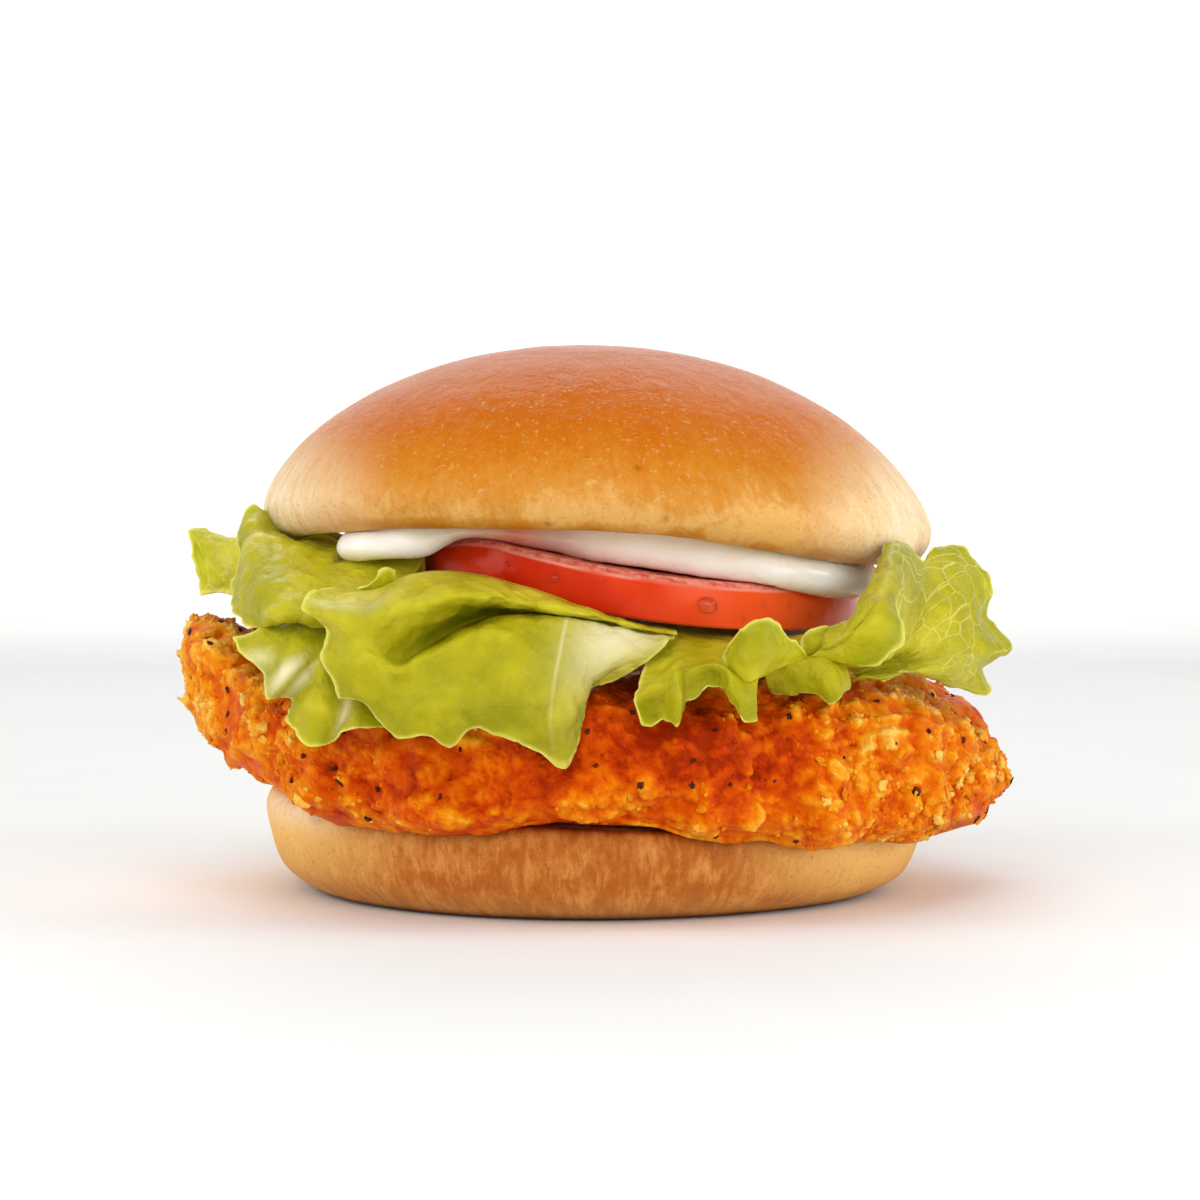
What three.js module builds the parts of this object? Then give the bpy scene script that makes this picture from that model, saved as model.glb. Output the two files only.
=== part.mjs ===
// A chicken burger: a round bun cut in two, and between its halves a fried chicken fillet,
// three lettuce leaves, a slice of tomato and mayonnaise. Millimetres, +Z up, front at -Y.
// The origin is the centre of the flat base that the burger stands on.
import * as THREE from 'three';

// Distances kept between pieces that touch
const GAP = 0.35;
const LEAF_GAP = 0.6;

// Heel: the bun's lower half, flat below and a little lower on its right
const HEEL_RADIUS = 53.2;
const HEEL_HEIGHT = 14.3;
const HEEL_SLOPE = -0.042;
const HEEL_WAVER = 0.5;
// The side from its base up: how far it stays within the radius, and its share of the height
const HEEL_SIDE = [[8.7, 0], [6.3, 0.063], [2.4, 0.26], [0.5, 0.58], [0, 0.82], [1.2, 0.97], [4, 1]];

// Fillet: a craggy slab longer than the bun, turned up at its left end and thin at its right end
const FILLET_REACH = 59.5;
const FILLET_OVAL = 3.5;
const FILLET_FORWARD = 3.2;
const FILLET_LEFT_LOBE = { angle: 184, width: 15, reach: 3.8 };
const FILLET_RIGHT_LOBE = { angle: 356, width: 13, reach: 3.5 };
const FILLET_ROUNDNESS = { upper: 3.6, lower: 6 };
// x and the height there of the fillet's upper and lower side
const FILLET_TOP = [
  [-68, 51], [-58, 44.5], [-49, 38.5], [-38, 36.5], [0, 36.5], [30, 37.5], [45, 36.5], [56, 33],
  [63, 27], [69, 21],
];
const FILLET_BOTTOM = [
  [-68, 29], [-62, 22.5], [-55, 17.5], [-45, 14.2], [-28, 12.6], [-12, 14], [8, 14],
  [18, 11.4], [48, 8.8], [57, 9.6], [63, 13], [69, 17],
];
// Turns away from the top, in degrees, of the rings on its upper and lower side
const FILLET_TURNS = { upper: [11, 22, 33, 43, 52, 61, 70, 79, 87], lower: [96, 106, 118] };
// The fillet's overhang starts this far outside the heel
const HEEL_CLEARANCE = 0.9;
const CRAG_SIZE = 8.5;
const CRAG_HEIGHT = 1.9;
const SMALL_CRAG_SHARE = 0.6;
const UPWARD_CRAG_SHARE = 0.8;

// Tomato: one round slice that dips at its left end and slopes down to the right
const TOMATO_CENTRE = { x: 6.7, y: -9 };
const TOMATO_RADIUS = 35.5;
const TOMATO_THICKNESS = 7;
const TOMATO_TOP = 54.8;
const TOMATO_SLOPE = { x: -0.18, y: 0.03 };
const TOMATO_CURVE = 0.002;
const TOMATO_LEFT_DIP = { from: -14, curve: 0.03 };
// The slice's rings from the middle of its top to its underside: shares of radius and thickness
const TOMATO_RINGS = [
  [0.25, 0], [0.5, 0], [0.75, 0], [0.955, 0], [0.988, 0.14], [1, 0.4], [0.995, 0.7], [0.955, 1],
  [0.6, 1],
];

// Crown: the bun's domed upper half, its rim arched over the filling
const CROWN_CENTRE = 0.6;
const CROWN_LEAN = -1.3;
const CROWN_RADIUS = 54;
const CROWN_TOP = 87.3;
// x and the height there of the crown's underside
const CROWN_UNDERSIDE = [
  [-55, 54.2], [-49, 57], [-40, 59.3], [-28, 60.6], [-10, 61], [10, 60.2], [28, 57], [45, 53.8],
  [55, 52],
];
const CROWN_FRONT_SLOPE = 0.04;
const CROWN_BACK_SAG = { from: 14, to: 62, depth: 5 };
const CROWN_EDGE_HEIGHT = 4.8;
const CROWN_EDGE_TUCK = 0.075;
const CROWN_FULLNESS = { across: 2.15, up: 1.5 };
const CROWN_DOME_RINGS = 10;
const CROWN_EDGE_TURNS = [25, 50, 75];
// Shares of the radius: the underside's rings, and where the rim takes its height from
const CROWN_FLAT_RINGS = [0.9, 0.68, 0.46, 0.23];
const CROWN_RIM_SHARE = 0.95;

// Mayonnaise: a layer that fills the wedge between tomato and crown and wells out at two places
const MAYONNAISE_CENTRE = { x: 3, y: -6 };
const MAYONNAISE_DEPTH = { left: 3.2, right: 4.6, turn: 12 };
const MAYONNAISE_TOP_GAP = 2 * GAP;
const MAYONNAISE_TOMATO_GAP = 2.8 * GAP;
const MAYONNAISE_FLAT_RINGS = [0.2, 0.4, 0.6, 0.78, 0.94];
// The rounded edge: shares of the outline and of the depth
const MAYONNAISE_EDGE_RINGS = [[0.98, 0.8], [1, 0.5], [0.98, 0.2]];
// angle in degrees and reach from its own centre in millimetres
const MAYONNAISE_OUTLINE = [
  [0, 41], [45, 34], [90, 30], [135, 32], [180, 38], [205, 45], [214, 49.5], [224, 47],
  [236, 39], [250, 35], [264, 34.5], [282, 38], [298, 41], [314, 44], [332, 45],
];

// Leaves. Each is a sheet spread between three lines: the root inside the stack, the shoulder
// where it leaves the stack, and its frilled edge. A line's points give the angle round the
// burger's axis in degrees, the reach from it, and the height.
const LEAF_THICKNESS = 0.8;
const LEAF_ROWS = 6;
const LEAF_MARGIN = LEAF_GAP + LEAF_THICKNESS / 2;
// How far round each layer a leaf is kept below it
const LEAF_UNDER = { crownShare: 0.97, mayonnaiseShare: 1.04, tomatoReach: 5 };
const RUFFLE_OUTWARD_SHARE = 0.6;
const LEFT_LEAF = {
  name: 'lettuce_left',
  ruffles: 26,
  ruffleHeight: 0.8,
  columns: 72,
  root: [[40, 16, 39], [140, 16, 39.5], [243, 16, 40]],
  shoulder: [
    [40, 44, 40], [90, 44, 41], [140, 47, 43], [174, 49, 50], [194, 49, 53.5], [207, 48.5, 54],
    [216, 48.5, 53.5], [222, 49, 52.5], [227, 51, 48], [232, 52, 43.5], [243, 52, 41],
  ],
  edge: [
    [40, 55, 43], [58, 58, 49], [74, 55, 43], [90, 57, 50], [106, 55, 45], [122, 59, 53],
    [138, 57, 48], [153, 60, 54], [165, 58, 49], [173, 61, 55], [179, 64.5, 57], [184, 64, 48.5],
    [189, 59, 45], [195, 57, 61.5], [202, 60.5, 57], [209, 64, 47.5], [215, 66, 41.5],
    [223, 68, 34], [228, 68.5, 31.5], [233, 68.5, 27], [238, 66, 30.5], [243, 61, 35],
  ],
};
const CENTRE_LEAF = {
  name: 'lettuce_centre',
  ruffles: 12,
  ruffleHeight: 0.5,
  columns: 44,
  root: [[231, 44, 52.5], [239, 31, 47.5], [252, 18, 44], [286, 17, 44]],
  shoulder: [
    [232, 64, 50], [240, 59, 50.5], [250, 54, 51.5], [260, 49, 49], [268, 45, 46.5],
    [278, 41, 44.5], [286, 37, 43.5],
  ],
  edge: [
    [233, 71, 48.5], [236, 69, 45], [236.5, 70, 40], [237, 69.5, 35], [240, 69, 30], [246, 66.5, 28],
    [251, 65.5, 27], [255, 63.5, 30], [260, 64.5, 28.5], [266, 65, 25.5], [268, 63, 31],
    [268.5, 61.5, 35], [274, 56.5, 38.5], [279, 52, 41], [286, 45.5, 43],
  ],
};
const RIGHT_LEAF = {
  name: 'lettuce_right',
  ruffles: 18,
  ruffleHeight: 0.7,
  columns: 64,
  root: [[276, 16, 38.8], [295, 22, 38.8], [306, 40, 40.5], [314, 47, 44], [319, 49.5, 47]],
  shoulder: [
    [276, 49, 39.6], [284, 50.5, 40.4], [294, 52.5, 45.5], [303, 53, 44.5], [318, 54, 41],
    [332, 56, 41.5], [337, 57, 46.5], [331, 55.5, 50], [321, 54, 51], [316.5, 53, 48.5],
  ],
  edge: [
    [276, 56, 36], [279, 62, 30.5], [283, 60, 36], [287, 61, 36.5], [290.5, 65, 31],
    [293.5, 62, 41.5], [296.5, 59.5, 46.5], [299, 61, 40], [303, 61, 39], [306, 62, 31.5],
    [311, 60.5, 36], [320, 60.5, 37], [334, 61, 35.5], [345, 63, 35], [349, 65, 32], [352, 67.5, 39],
    [349, 63.5, 47], [347, 64, 51], [342, 61, 55], [335, 59.5, 56], [330.5, 58.5, 52.5],
    [326.5, 59.5, 56], [320, 60, 57], [316, 58.5, 51],
  ],
};

const BUN_COLOUR = '#dca45c';
const CHICKEN_COLOUR = '#d9691a';
const LETTUCE_COLOUR = '#b4b432';
const TOMATO_COLOUR = '#c8341f';
const MAYONNAISE_COLOUR = '#eee0cf';

const radians = THREE.MathUtils.degToRad;
const degrees = THREE.MathUtils.radToDeg;
const smoothstep = THREE.MathUtils.smoothstep;

// A repeatable number between -1 and 1 for each corner of a unit grid
function cornerValue(i, j, k) {
  const wave = Math.sin(i * 127.1 + j * 311.7 + k * 74.7) * 43758.5453;
  return 2 * (wave - Math.floor(wave)) - 1;
}

// Smooth noise between -1 and 1, one bump to a unit of length
function noise(x, y, z) {
  const [i, j, k] = [Math.floor(x), Math.floor(y), Math.floor(z)];
  const [a, b, c] = [smoothstep(x - i, 0, 1), smoothstep(y - j, 0, 1), smoothstep(z - k, 0, 1)];
  let sum = 0;
  for (const di of [0, 1]) {
    for (const dj of [0, 1]) {
      for (const dk of [0, 1]) {
        const share = (di ? a : 1 - a) * (dj ? b : 1 - b) * (dk ? c : 1 - c);
        sum += share * cornerValue(i + di, j + dj, k + dk);
      }
    }
  }
  return sum;
}

// Smallest turn between two angles, in degrees
function turnBetween(a, b) {
  return Math.abs(((a - b + 540) % 360) - 180);
}

// Values of a table's rows at one place, on a smooth curve through the rows. Places are each
// row's first value; a closed table is one of angles, and runs on past its last row.
function alongTable(rows, place, closed) {
  const count = rows.length;
  const row = (i) => {
    if (!closed) return rows[Math.min(Math.max(i, 0), count - 1)];
    const turn = 360 * Math.floor(i / count);
    const base = rows[((i % count) + count) % count];
    return [base[0] + turn, ...base.slice(1)];
  };
  const last = closed ? count : count - 2;
  let index = closed ? -1 : 0;
  while (index < last && row(index + 1)[0] < place) index += 1;
  const [before, from, to, after] = [row(index - 1), row(index), row(index + 1), row(index + 2)];
  const span = to[0] - from[0];
  const t = Math.min(Math.max((place - from[0]) / span, 0), 1);
  const t2 = t * t;
  const t3 = t2 * t;
  const slopeFrom = (to[1] - before[1]) / Math.max(to[0] - before[0], span) * span;
  const slopeTo = (after[1] - from[1]) / Math.max(after[0] - from[0], span) * span;
  return from[1] * (2 * t3 - 3 * t2 + 1) + slopeFrom * (t3 - 2 * t2 + t)
    + to[1] * (3 * t2 - 2 * t3) + slopeTo * (t3 - t2);
}

function polarPoint(angle, reach, height) {
  return new THREE.Vector3(
    reach * Math.cos(radians(angle)),
    reach * Math.sin(radians(angle)),
    height,
  );
}

function heelTop(x) {
  return HEEL_HEIGHT + HEEL_SLOPE * x;
}

// Underside of the crown, which is also the top of what lies below it
function crownUnderside(x, y) {
  const { from, to, depth } = CROWN_BACK_SAG;
  return alongTable(CROWN_UNDERSIDE, x, false) + CROWN_FRONT_SLOPE * Math.min(y, 0)
    - depth * smoothstep(y, from, to);
}

function tomatoTop(x, y) {
  const dip = Math.max(0, TOMATO_LEFT_DIP.from - x);
  return TOMATO_TOP + TOMATO_SLOPE.x * x + TOMATO_SLOPE.y * y
    + TOMATO_CURVE * x * x - TOMATO_LEFT_DIP.curve * dip * dip;
}

// The fillet's outline, seen from above
function filletReach(angle) {
  const lobe = ({ angle: middle, width, reach }) =>
    reach * Math.exp(-((turnBetween(angle, middle) / width) ** 2));
  return FILLET_REACH + FILLET_OVAL * Math.cos(2 * radians(angle))
    - FILLET_FORWARD * Math.sin(radians(angle))
    + lobe(FILLET_LEFT_LOBE) + lobe(FILLET_RIGHT_LOBE);
}

function filletMiddle(x) {
  return (alongTable(FILLET_TOP, x, false) + alongTable(FILLET_BOTTOM, x, false)) / 2;
}

function filletHalfThickness(x) {
  return (alongTable(FILLET_TOP, x, false) - alongTable(FILLET_BOTTOM, x, false)) / 2;
}

// Height of the fillet's smooth upper side, or nothing where it doesn't reach
function filletTop(x, y) {
  const angle = degrees(Math.atan2(y, x));
  const share = Math.hypot(x, y) / filletReach(angle);
  if (share >= 1) return -Infinity;
  const dome = (1 - share ** FILLET_ROUNDNESS.upper) ** (1 / FILLET_ROUNDNESS.upper);
  return filletMiddle(x) + filletHalfThickness(x) * dome;
}

// The mayonnaise's outline, seen from above, as a share of the way to its edge
function mayonnaiseShare(x, y) {
  const [dx, dy] = [x - MAYONNAISE_CENTRE.x, y - MAYONNAISE_CENTRE.y];
  const angle = (degrees(Math.atan2(dy, dx)) + 360) % 360;
  return Math.hypot(dx, dy) / alongTable(MAYONNAISE_OUTLINE, angle, true);
}

function mayonnaiseTop(x, y) {
  return crownUnderside(x, y) - MAYONNAISE_TOP_GAP;
}

function mayonnaiseBottom(x, y) {
  const { left, right, turn } = MAYONNAISE_DEPTH;
  const depth = left + (right - left) * smoothstep(x, -turn, turn);
  return Math.max(mayonnaiseTop(x, y) - depth, tomatoTop(x, y) + MAYONNAISE_TOMATO_GAP);
}

// Turns points and triangles into a mesh whose faces point outwards
function solid(name, colour, roughness, points, triangles) {
  let volume = 0;
  for (let i = 0; i < triangles.length; i += 3) {
    const [a, b, c] = [points[triangles[i]], points[triangles[i + 1]], points[triangles[i + 2]]];
    volume += a.dot(new THREE.Vector3().crossVectors(b, c));
  }
  const outwards = volume > 0 ? triangles : [...triangles].reverse();
  const geometry = new THREE.BufferGeometry().setFromPoints(points);
  geometry.setIndex(outwards);
  geometry.computeVertexNormals();
  const material = new THREE.MeshStandardMaterial({ color: colour, roughness, metalness: 0 });
  const mesh = new THREE.Mesh(geometry, material);
  mesh.name = name;
  return mesh;
}

// A closed round body: a point at the top, rings of points, and a point at the bottom.
// place(angle, ring) gives a ring's point at an angle in degrees.
function roundBody(name, colour, roughness, around, rings, place, top, bottom) {
  const points = [top];
  for (const ring of rings) {
    for (let i = 0; i < around; i += 1) points.push(place((360 * i) / around, ring));
  }
  points.push(bottom);
  const last = points.length - 1;
  const at = (ring, i) => 1 + ring * around + (i % around);
  const triangles = [];
  for (let i = 0; i < around; i += 1) {
    triangles.push(0, at(0, i), at(0, i + 1));
    triangles.push(last, at(rings.length - 1, i + 1), at(rings.length - 1, i));
    for (let ring = 0; ring < rings.length - 1; ring += 1) {
      triangles.push(at(ring, i), at(ring + 1, i), at(ring + 1, i + 1));
      triangles.push(at(ring, i), at(ring + 1, i + 1), at(ring, i + 1));
    }
  }
  return solid(name, colour, roughness, points, triangles);
}

// A ring of a superellipse: its reach and height at a turn in degrees away from the top
function ovalRing(turn, roundness) {
  const [across, up] = [Math.sin(radians(turn)), Math.cos(radians(turn))];
  return { reach: across ** (2 / roundness), height: Math.sign(up) * Math.abs(up) ** (2 / roundness) };
}

function heel() {
  const side = new THREE.SplineCurve(HEEL_SIDE.map(([inset, share]) =>
    new THREE.Vector2(HEEL_RADIUS - inset, share * HEEL_HEIGHT)));
  const rings = side.getPoints(8).reverse();
  rings.unshift(new THREE.Vector2(HEEL_RADIUS / 2, HEEL_HEIGHT));
  rings.push(new THREE.Vector2(HEEL_RADIUS / 2, 0));
  const place = (angle, ring) => {
    const waver = HEEL_WAVER * noise(2 * Math.cos(radians(angle)), 2 * Math.sin(radians(angle)), 5);
    const reach = ring.x + (ring.y > 0 ? waver : 0);
    const x = reach * Math.cos(radians(angle));
    const y = reach * Math.sin(radians(angle));
    return new THREE.Vector3(x, y, ring.y * (heelTop(x) / HEEL_HEIGHT));
  };
  const top = new THREE.Vector3(0, 0, HEEL_HEIGHT);
  return roundBody('heel', BUN_COLOUR, 0.75, 60, rings, place, top, new THREE.Vector3());
}

function fillet() {
  const clear = HEEL_RADIUS + HEEL_CLEARANCE;
  const place = (angle, ring) => {
    const outline = filletReach(angle);
    const lip = Math.min(clear + ring.lip, 0.96 * outline);
    const reach = ring.lip ? lip : outline * ring.reach;
    const { x, y } = polarPoint(angle, reach, 0);
    const z = filletMiddle(x) + filletHalfThickness(x) * ring.height;
    const crag = CRAG_HEIGHT * noise(x / CRAG_SIZE, y / CRAG_SIZE, z / CRAG_SIZE)
      + SMALL_CRAG_SHARE * CRAG_HEIGHT * noise(2 * x / CRAG_SIZE, 2 * y / CRAG_SIZE, 2 * z / CRAG_SIZE);
    let outwards = ring.lip ? 0 : crag * ring.reach ** 4;
    if (ring.height < 0 && reach > clear) {
      outwards = Math.max(outwards, clear + HEEL_CLEARANCE - reach);
    }
    const upwards = UPWARD_CRAG_SHARE * ring.height * crag;
    const point = polarPoint(angle, reach + outwards, z + upwards);
    if (ring.height < 0 && reach + outwards < clear) {
      point.z = Math.max(point.z, heelTop(point.x) + GAP);
    }
    return point;
  };
  const top = new THREE.Vector3(0, 0, filletMiddle(0) + filletHalfThickness(0));
  const bottom = new THREE.Vector3(0, 0, heelTop(0) + GAP);
  const rings = FILLET_TURNS.upper.map((turn) => ovalRing(turn, FILLET_ROUNDNESS.upper));
  for (const turn of FILLET_TURNS.lower) rings.push(ovalRing(turn, FILLET_ROUNDNESS.lower));
  // Two rings just outside and inside the heel's edge, then the flat part that rests on it
  rings.push({ lip: 0.8, height: -0.9 }, { lip: -0.1, height: -0.95 });
  rings.push({ reach: 0.7, height: -1 }, { reach: 0.35, height: -1 });
  return roundBody('fillet', CHICKEN_COLOUR, 0.6, 88, rings, place, top, bottom);
}

function tomato() {
  const at = (x, y, depth) => new THREE.Vector3(x, y, tomatoTop(x, y) - TOMATO_THICKNESS * depth);
  const place = (angle, [reach, depth]) => {
    const { x, y } = polarPoint(angle, TOMATO_RADIUS * reach, 0);
    return at(TOMATO_CENTRE.x + x, TOMATO_CENTRE.y + y, depth);
  };
  const { x, y } = TOMATO_CENTRE;
  return roundBody('tomato', TOMATO_COLOUR, 0.3, 52, TOMATO_RINGS, place, at(x, y, 0), at(x, y, 1));
}

function mayonnaise() {
  const rings = [
    ...MAYONNAISE_FLAT_RINGS.map((reach) => [reach, 1]),
    ...MAYONNAISE_EDGE_RINGS,
    ...MAYONNAISE_FLAT_RINGS.map((reach) => [reach, 0]).reverse(),
  ];
  const at = (x, y, height) => {
    const [bottom, top] = [mayonnaiseBottom(x, y), mayonnaiseTop(x, y)];
    return new THREE.Vector3(x, y, bottom + height * (top - bottom));
  };
  const place = (angle, [share, height]) => {
    const { x, y } = polarPoint(angle, alongTable(MAYONNAISE_OUTLINE, angle, true) * share, 0);
    return at(MAYONNAISE_CENTRE.x + x, MAYONNAISE_CENTRE.y + y, height);
  };
  const { x, y } = MAYONNAISE_CENTRE;
  const colour = MAYONNAISE_COLOUR;
  return roundBody('mayonnaise', colour, 0.35, 52, rings, place, at(x, y, 1), at(x, y, 0));
}

function crown() {
  const rings = [];
  for (let i = 1; i <= CROWN_DOME_RINGS; i += 1) {
    const turn = ((Math.PI / 2) * i) / CROWN_DOME_RINGS;
    const reach = Math.sin(turn) ** (2 / CROWN_FULLNESS.across);
    const dome = Math.max(0, Math.cos(turn)) ** (2 / CROWN_FULLNESS.up);
    rings.push({ reach, dome, edge: 0 });
  }
  for (const turn of CROWN_EDGE_TURNS) {
    const reach = 1 - CROWN_EDGE_TUCK * (1 - Math.cos(radians(turn)));
    rings.push({ reach, dome: 0, edge: Math.sin(radians(turn)) });
  }
  for (const reach of CROWN_FLAT_RINGS) rings.push({ reach, dome: 0, edge: 1 });
  const place = (angle, ring) => {
    const [across, along] = [Math.cos(radians(angle)), Math.sin(radians(angle))];
    const x = CROWN_CENTRE + CROWN_LEAN * ring.dome + CROWN_RADIUS * ring.reach * across;
    const y = CROWN_RADIUS * ring.reach * along;
    const rim = CROWN_RIM_SHARE * CROWN_RADIUS;
    const onFlat = CROWN_FLAT_RINGS.includes(ring.reach);
    const below = onFlat ? [x, y] : [CROWN_CENTRE + rim * across, rim * along];
    const widest = crownUnderside(...below) + CROWN_EDGE_HEIGHT;
    return new THREE.Vector3(x, y, widest + (CROWN_TOP - widest) * ring.dome
      - CROWN_EDGE_HEIGHT * ring.edge);
  };
  const top = new THREE.Vector3(CROWN_CENTRE + CROWN_LEAN, 0, CROWN_TOP);
  const bottom = new THREE.Vector3(CROWN_CENTRE, 0, crownUnderside(CROWN_CENTRE, 0));
  return roundBody('crown', BUN_COLOUR, 0.45, 60, rings, place, top, bottom);
}

// Keeps a leaf's point above the fillet, and below the tomato, the mayonnaise and the crown
function betweenLayers(point) {
  const { x, y } = point;
  const floor = filletTop(x, y) + CRAG_HEIGHT + LEAF_MARGIN;
  const fromTomato = Math.hypot(x - TOMATO_CENTRE.x, y - TOMATO_CENTRE.y);
  const fromCrown = Math.hypot(x - CROWN_CENTRE, y);
  let ceiling = Infinity;
  if (fromCrown < LEAF_UNDER.crownShare * CROWN_RADIUS) {
    ceiling = crownUnderside(x, y) - LEAF_MARGIN;
  }
  if (mayonnaiseShare(x, y) < LEAF_UNDER.mayonnaiseShare) {
    ceiling = mayonnaiseBottom(x, y) - LEAF_MARGIN;
  }
  if (fromTomato < TOMATO_RADIUS + LEAF_UNDER.tomatoReach) {
    const inwards = Math.min(TOMATO_RADIUS / fromTomato, 1);
    const nearest = [
      TOMATO_CENTRE.x + (x - TOMATO_CENTRE.x) * inwards,
      TOMATO_CENTRE.y + (y - TOMATO_CENTRE.y) * inwards,
    ];
    ceiling = tomatoTop(...nearest) - TOMATO_THICKNESS - 1.5 * LEAF_MARGIN;
  }
  return new THREE.Vector3(x, y, Math.min(Math.max(point.z, floor), ceiling));
}

// The middle of a leaf's thickness: u runs along its edge and v from its root to its edge
function leafSurface(leaf) {
  const line = (points) =>
    new THREE.CatmullRomCurve3(points.map(([angle, reach, height]) => polarPoint(angle, reach, height)));
  const [root, shoulder, edge] = [line(leaf.root), line(leaf.shoulder), line(leaf.edge)];
  return (u, v) => {
    const [inner, outer] = [root.getPointAt(u), shoulder.getPointAt(u)];
    const halfway = inner.clone().lerp(outer, 0.5);
    const point = new THREE.CatmullRomCurve3([inner, halfway, outer, edge.getPointAt(u)]).getPoint(v);
    const ruffle = leaf.ruffleHeight * v ** 4 * Math.sin(2 * Math.PI * leaf.ruffles * u);
    const across = new THREE.Vector3(point.x, point.y, 0).normalize();
    point.addScaledVector(across, RUFFLE_OUTWARD_SHARE * ruffle);
    point.z += ruffle;
    return betweenLayers(point);
  };
}

function lettuceLeaf(leaf) {
  const { name, columns } = leaf;
  const surface = leafSurface(leaf);
  const middle = (i, j) => surface(i / columns, j / LEAF_ROWS);
  const clamp = (i, most) => Math.min(Math.max(i, 0), most);
  const faces = [[], []];
  for (let i = 0; i <= columns; i += 1) {
    for (let j = 0; j <= LEAF_ROWS; j += 1) {
      const along = middle(clamp(i + 1, columns), j).sub(middle(clamp(i - 1, columns), j));
      const outwards = middle(i, clamp(j + 1, LEAF_ROWS)).sub(middle(i, clamp(j - 1, LEAF_ROWS)));
      const up = outwards.cross(along).normalize();
      for (const side of [0, 1]) {
        const offset = (side - 0.5) * LEAF_THICKNESS;
        faces[side].push(middle(i, j).addScaledVector(up, offset));
      }
    }
  }
  const sheet = faces[0].length;
  const at = (side, i, j) => side * sheet + i * (LEAF_ROWS + 1) + j;
  const triangles = [];
  const quad = (a, b, c, d) => triangles.push(a, b, c, a, c, d);
  for (let i = 0; i < columns; i += 1) {
    for (let j = 0; j < LEAF_ROWS; j += 1) {
      quad(at(0, i, j), at(0, i, j + 1), at(0, i + 1, j + 1), at(0, i + 1, j));
      const [a, b] = [at(1, i, j), at(1, i, j + 1)];
      const [c, d] = [at(1, i + 1, j + 1), at(1, i + 1, j)];
      triangles.push(a, c, b, a, d, c);
    }
    quad(at(1, i, 0), at(0, i, 0), at(0, i + 1, 0), at(1, i + 1, 0));
    quad(at(0, i, LEAF_ROWS), at(1, i, LEAF_ROWS), at(1, i + 1, LEAF_ROWS), at(0, i + 1, LEAF_ROWS));
  }
  for (let j = 0; j < LEAF_ROWS; j += 1) {
    quad(at(1, 0, j), at(1, 0, j + 1), at(0, 0, j + 1), at(0, 0, j));
    quad(at(0, columns, j), at(0, columns, j + 1), at(1, columns, j + 1), at(1, columns, j));
  }
  return solid(name, LETTUCE_COLOUR, 0.5, [...faces[0], ...faces[1]], triangles);
}

const burger = new THREE.Group();
burger.name = 'chicken_burger';
burger.add(heel(), fillet(), tomato(), mayonnaise(), crown());
for (const leaf of [LEFT_LEAF, CENTRE_LEAF, RIGHT_LEAF]) burger.add(lettuceLeaf(leaf));

export default burger;
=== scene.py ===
"""A chicken burger dressed round its fixed frame. Lengths are millimetres unless the code says metres."""
import math

import bpy
import numpy as np
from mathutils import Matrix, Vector


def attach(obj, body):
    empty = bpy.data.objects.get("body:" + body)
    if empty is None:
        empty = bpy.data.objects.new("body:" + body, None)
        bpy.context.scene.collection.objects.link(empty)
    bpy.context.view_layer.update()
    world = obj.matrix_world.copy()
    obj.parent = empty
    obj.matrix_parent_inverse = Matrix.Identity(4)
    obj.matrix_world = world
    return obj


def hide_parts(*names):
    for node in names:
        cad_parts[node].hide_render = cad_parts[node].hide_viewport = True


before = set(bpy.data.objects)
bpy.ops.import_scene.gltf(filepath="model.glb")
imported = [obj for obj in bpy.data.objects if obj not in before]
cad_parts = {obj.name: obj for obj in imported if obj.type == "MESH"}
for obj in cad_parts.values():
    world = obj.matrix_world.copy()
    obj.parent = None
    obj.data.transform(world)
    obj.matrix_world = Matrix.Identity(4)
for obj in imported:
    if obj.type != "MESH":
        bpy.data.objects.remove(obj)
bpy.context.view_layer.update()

MM = 0.001

# Camera: the photograph's, 3 degrees above the horizon and 600 mm away.
# PIXEL is the size of a pixel of the photograph where the camera aims.
PIXEL = 0.1624
PHOTO_MIDDLE = 600
AIM_X, AIM_HEIGHT = 1.0, 46.0
AIM = Vector((AIM_X, 0.0, AIM_HEIGHT)) * MM
CAMERA_DISTANCE = 600
CAMERA_ELEVATION = math.radians(3)
LEVEL, RISE = math.cos(CAMERA_ELEVATION), math.sin(CAMERA_ELEVATION)
camera_data = bpy.data.cameras.new("camera")
camera = bpy.data.objects.new("camera", camera_data)
bpy.context.scene.collection.objects.link(camera)
camera_data.sensor_width = 36
camera_data.lens = 36 * CAMERA_DISTANCE / (2 * PHOTO_MIDDLE * PIXEL)
camera.location = AIM + CAMERA_DISTANCE * MM * Vector((0, -LEVEL, RISE))
camera.rotation_euler = (math.pi / 2 - CAMERA_ELEVATION, 0, 0)
bpy.context.scene.camera = camera
bpy.context.scene.view_settings.view_transform = "Standard"

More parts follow.
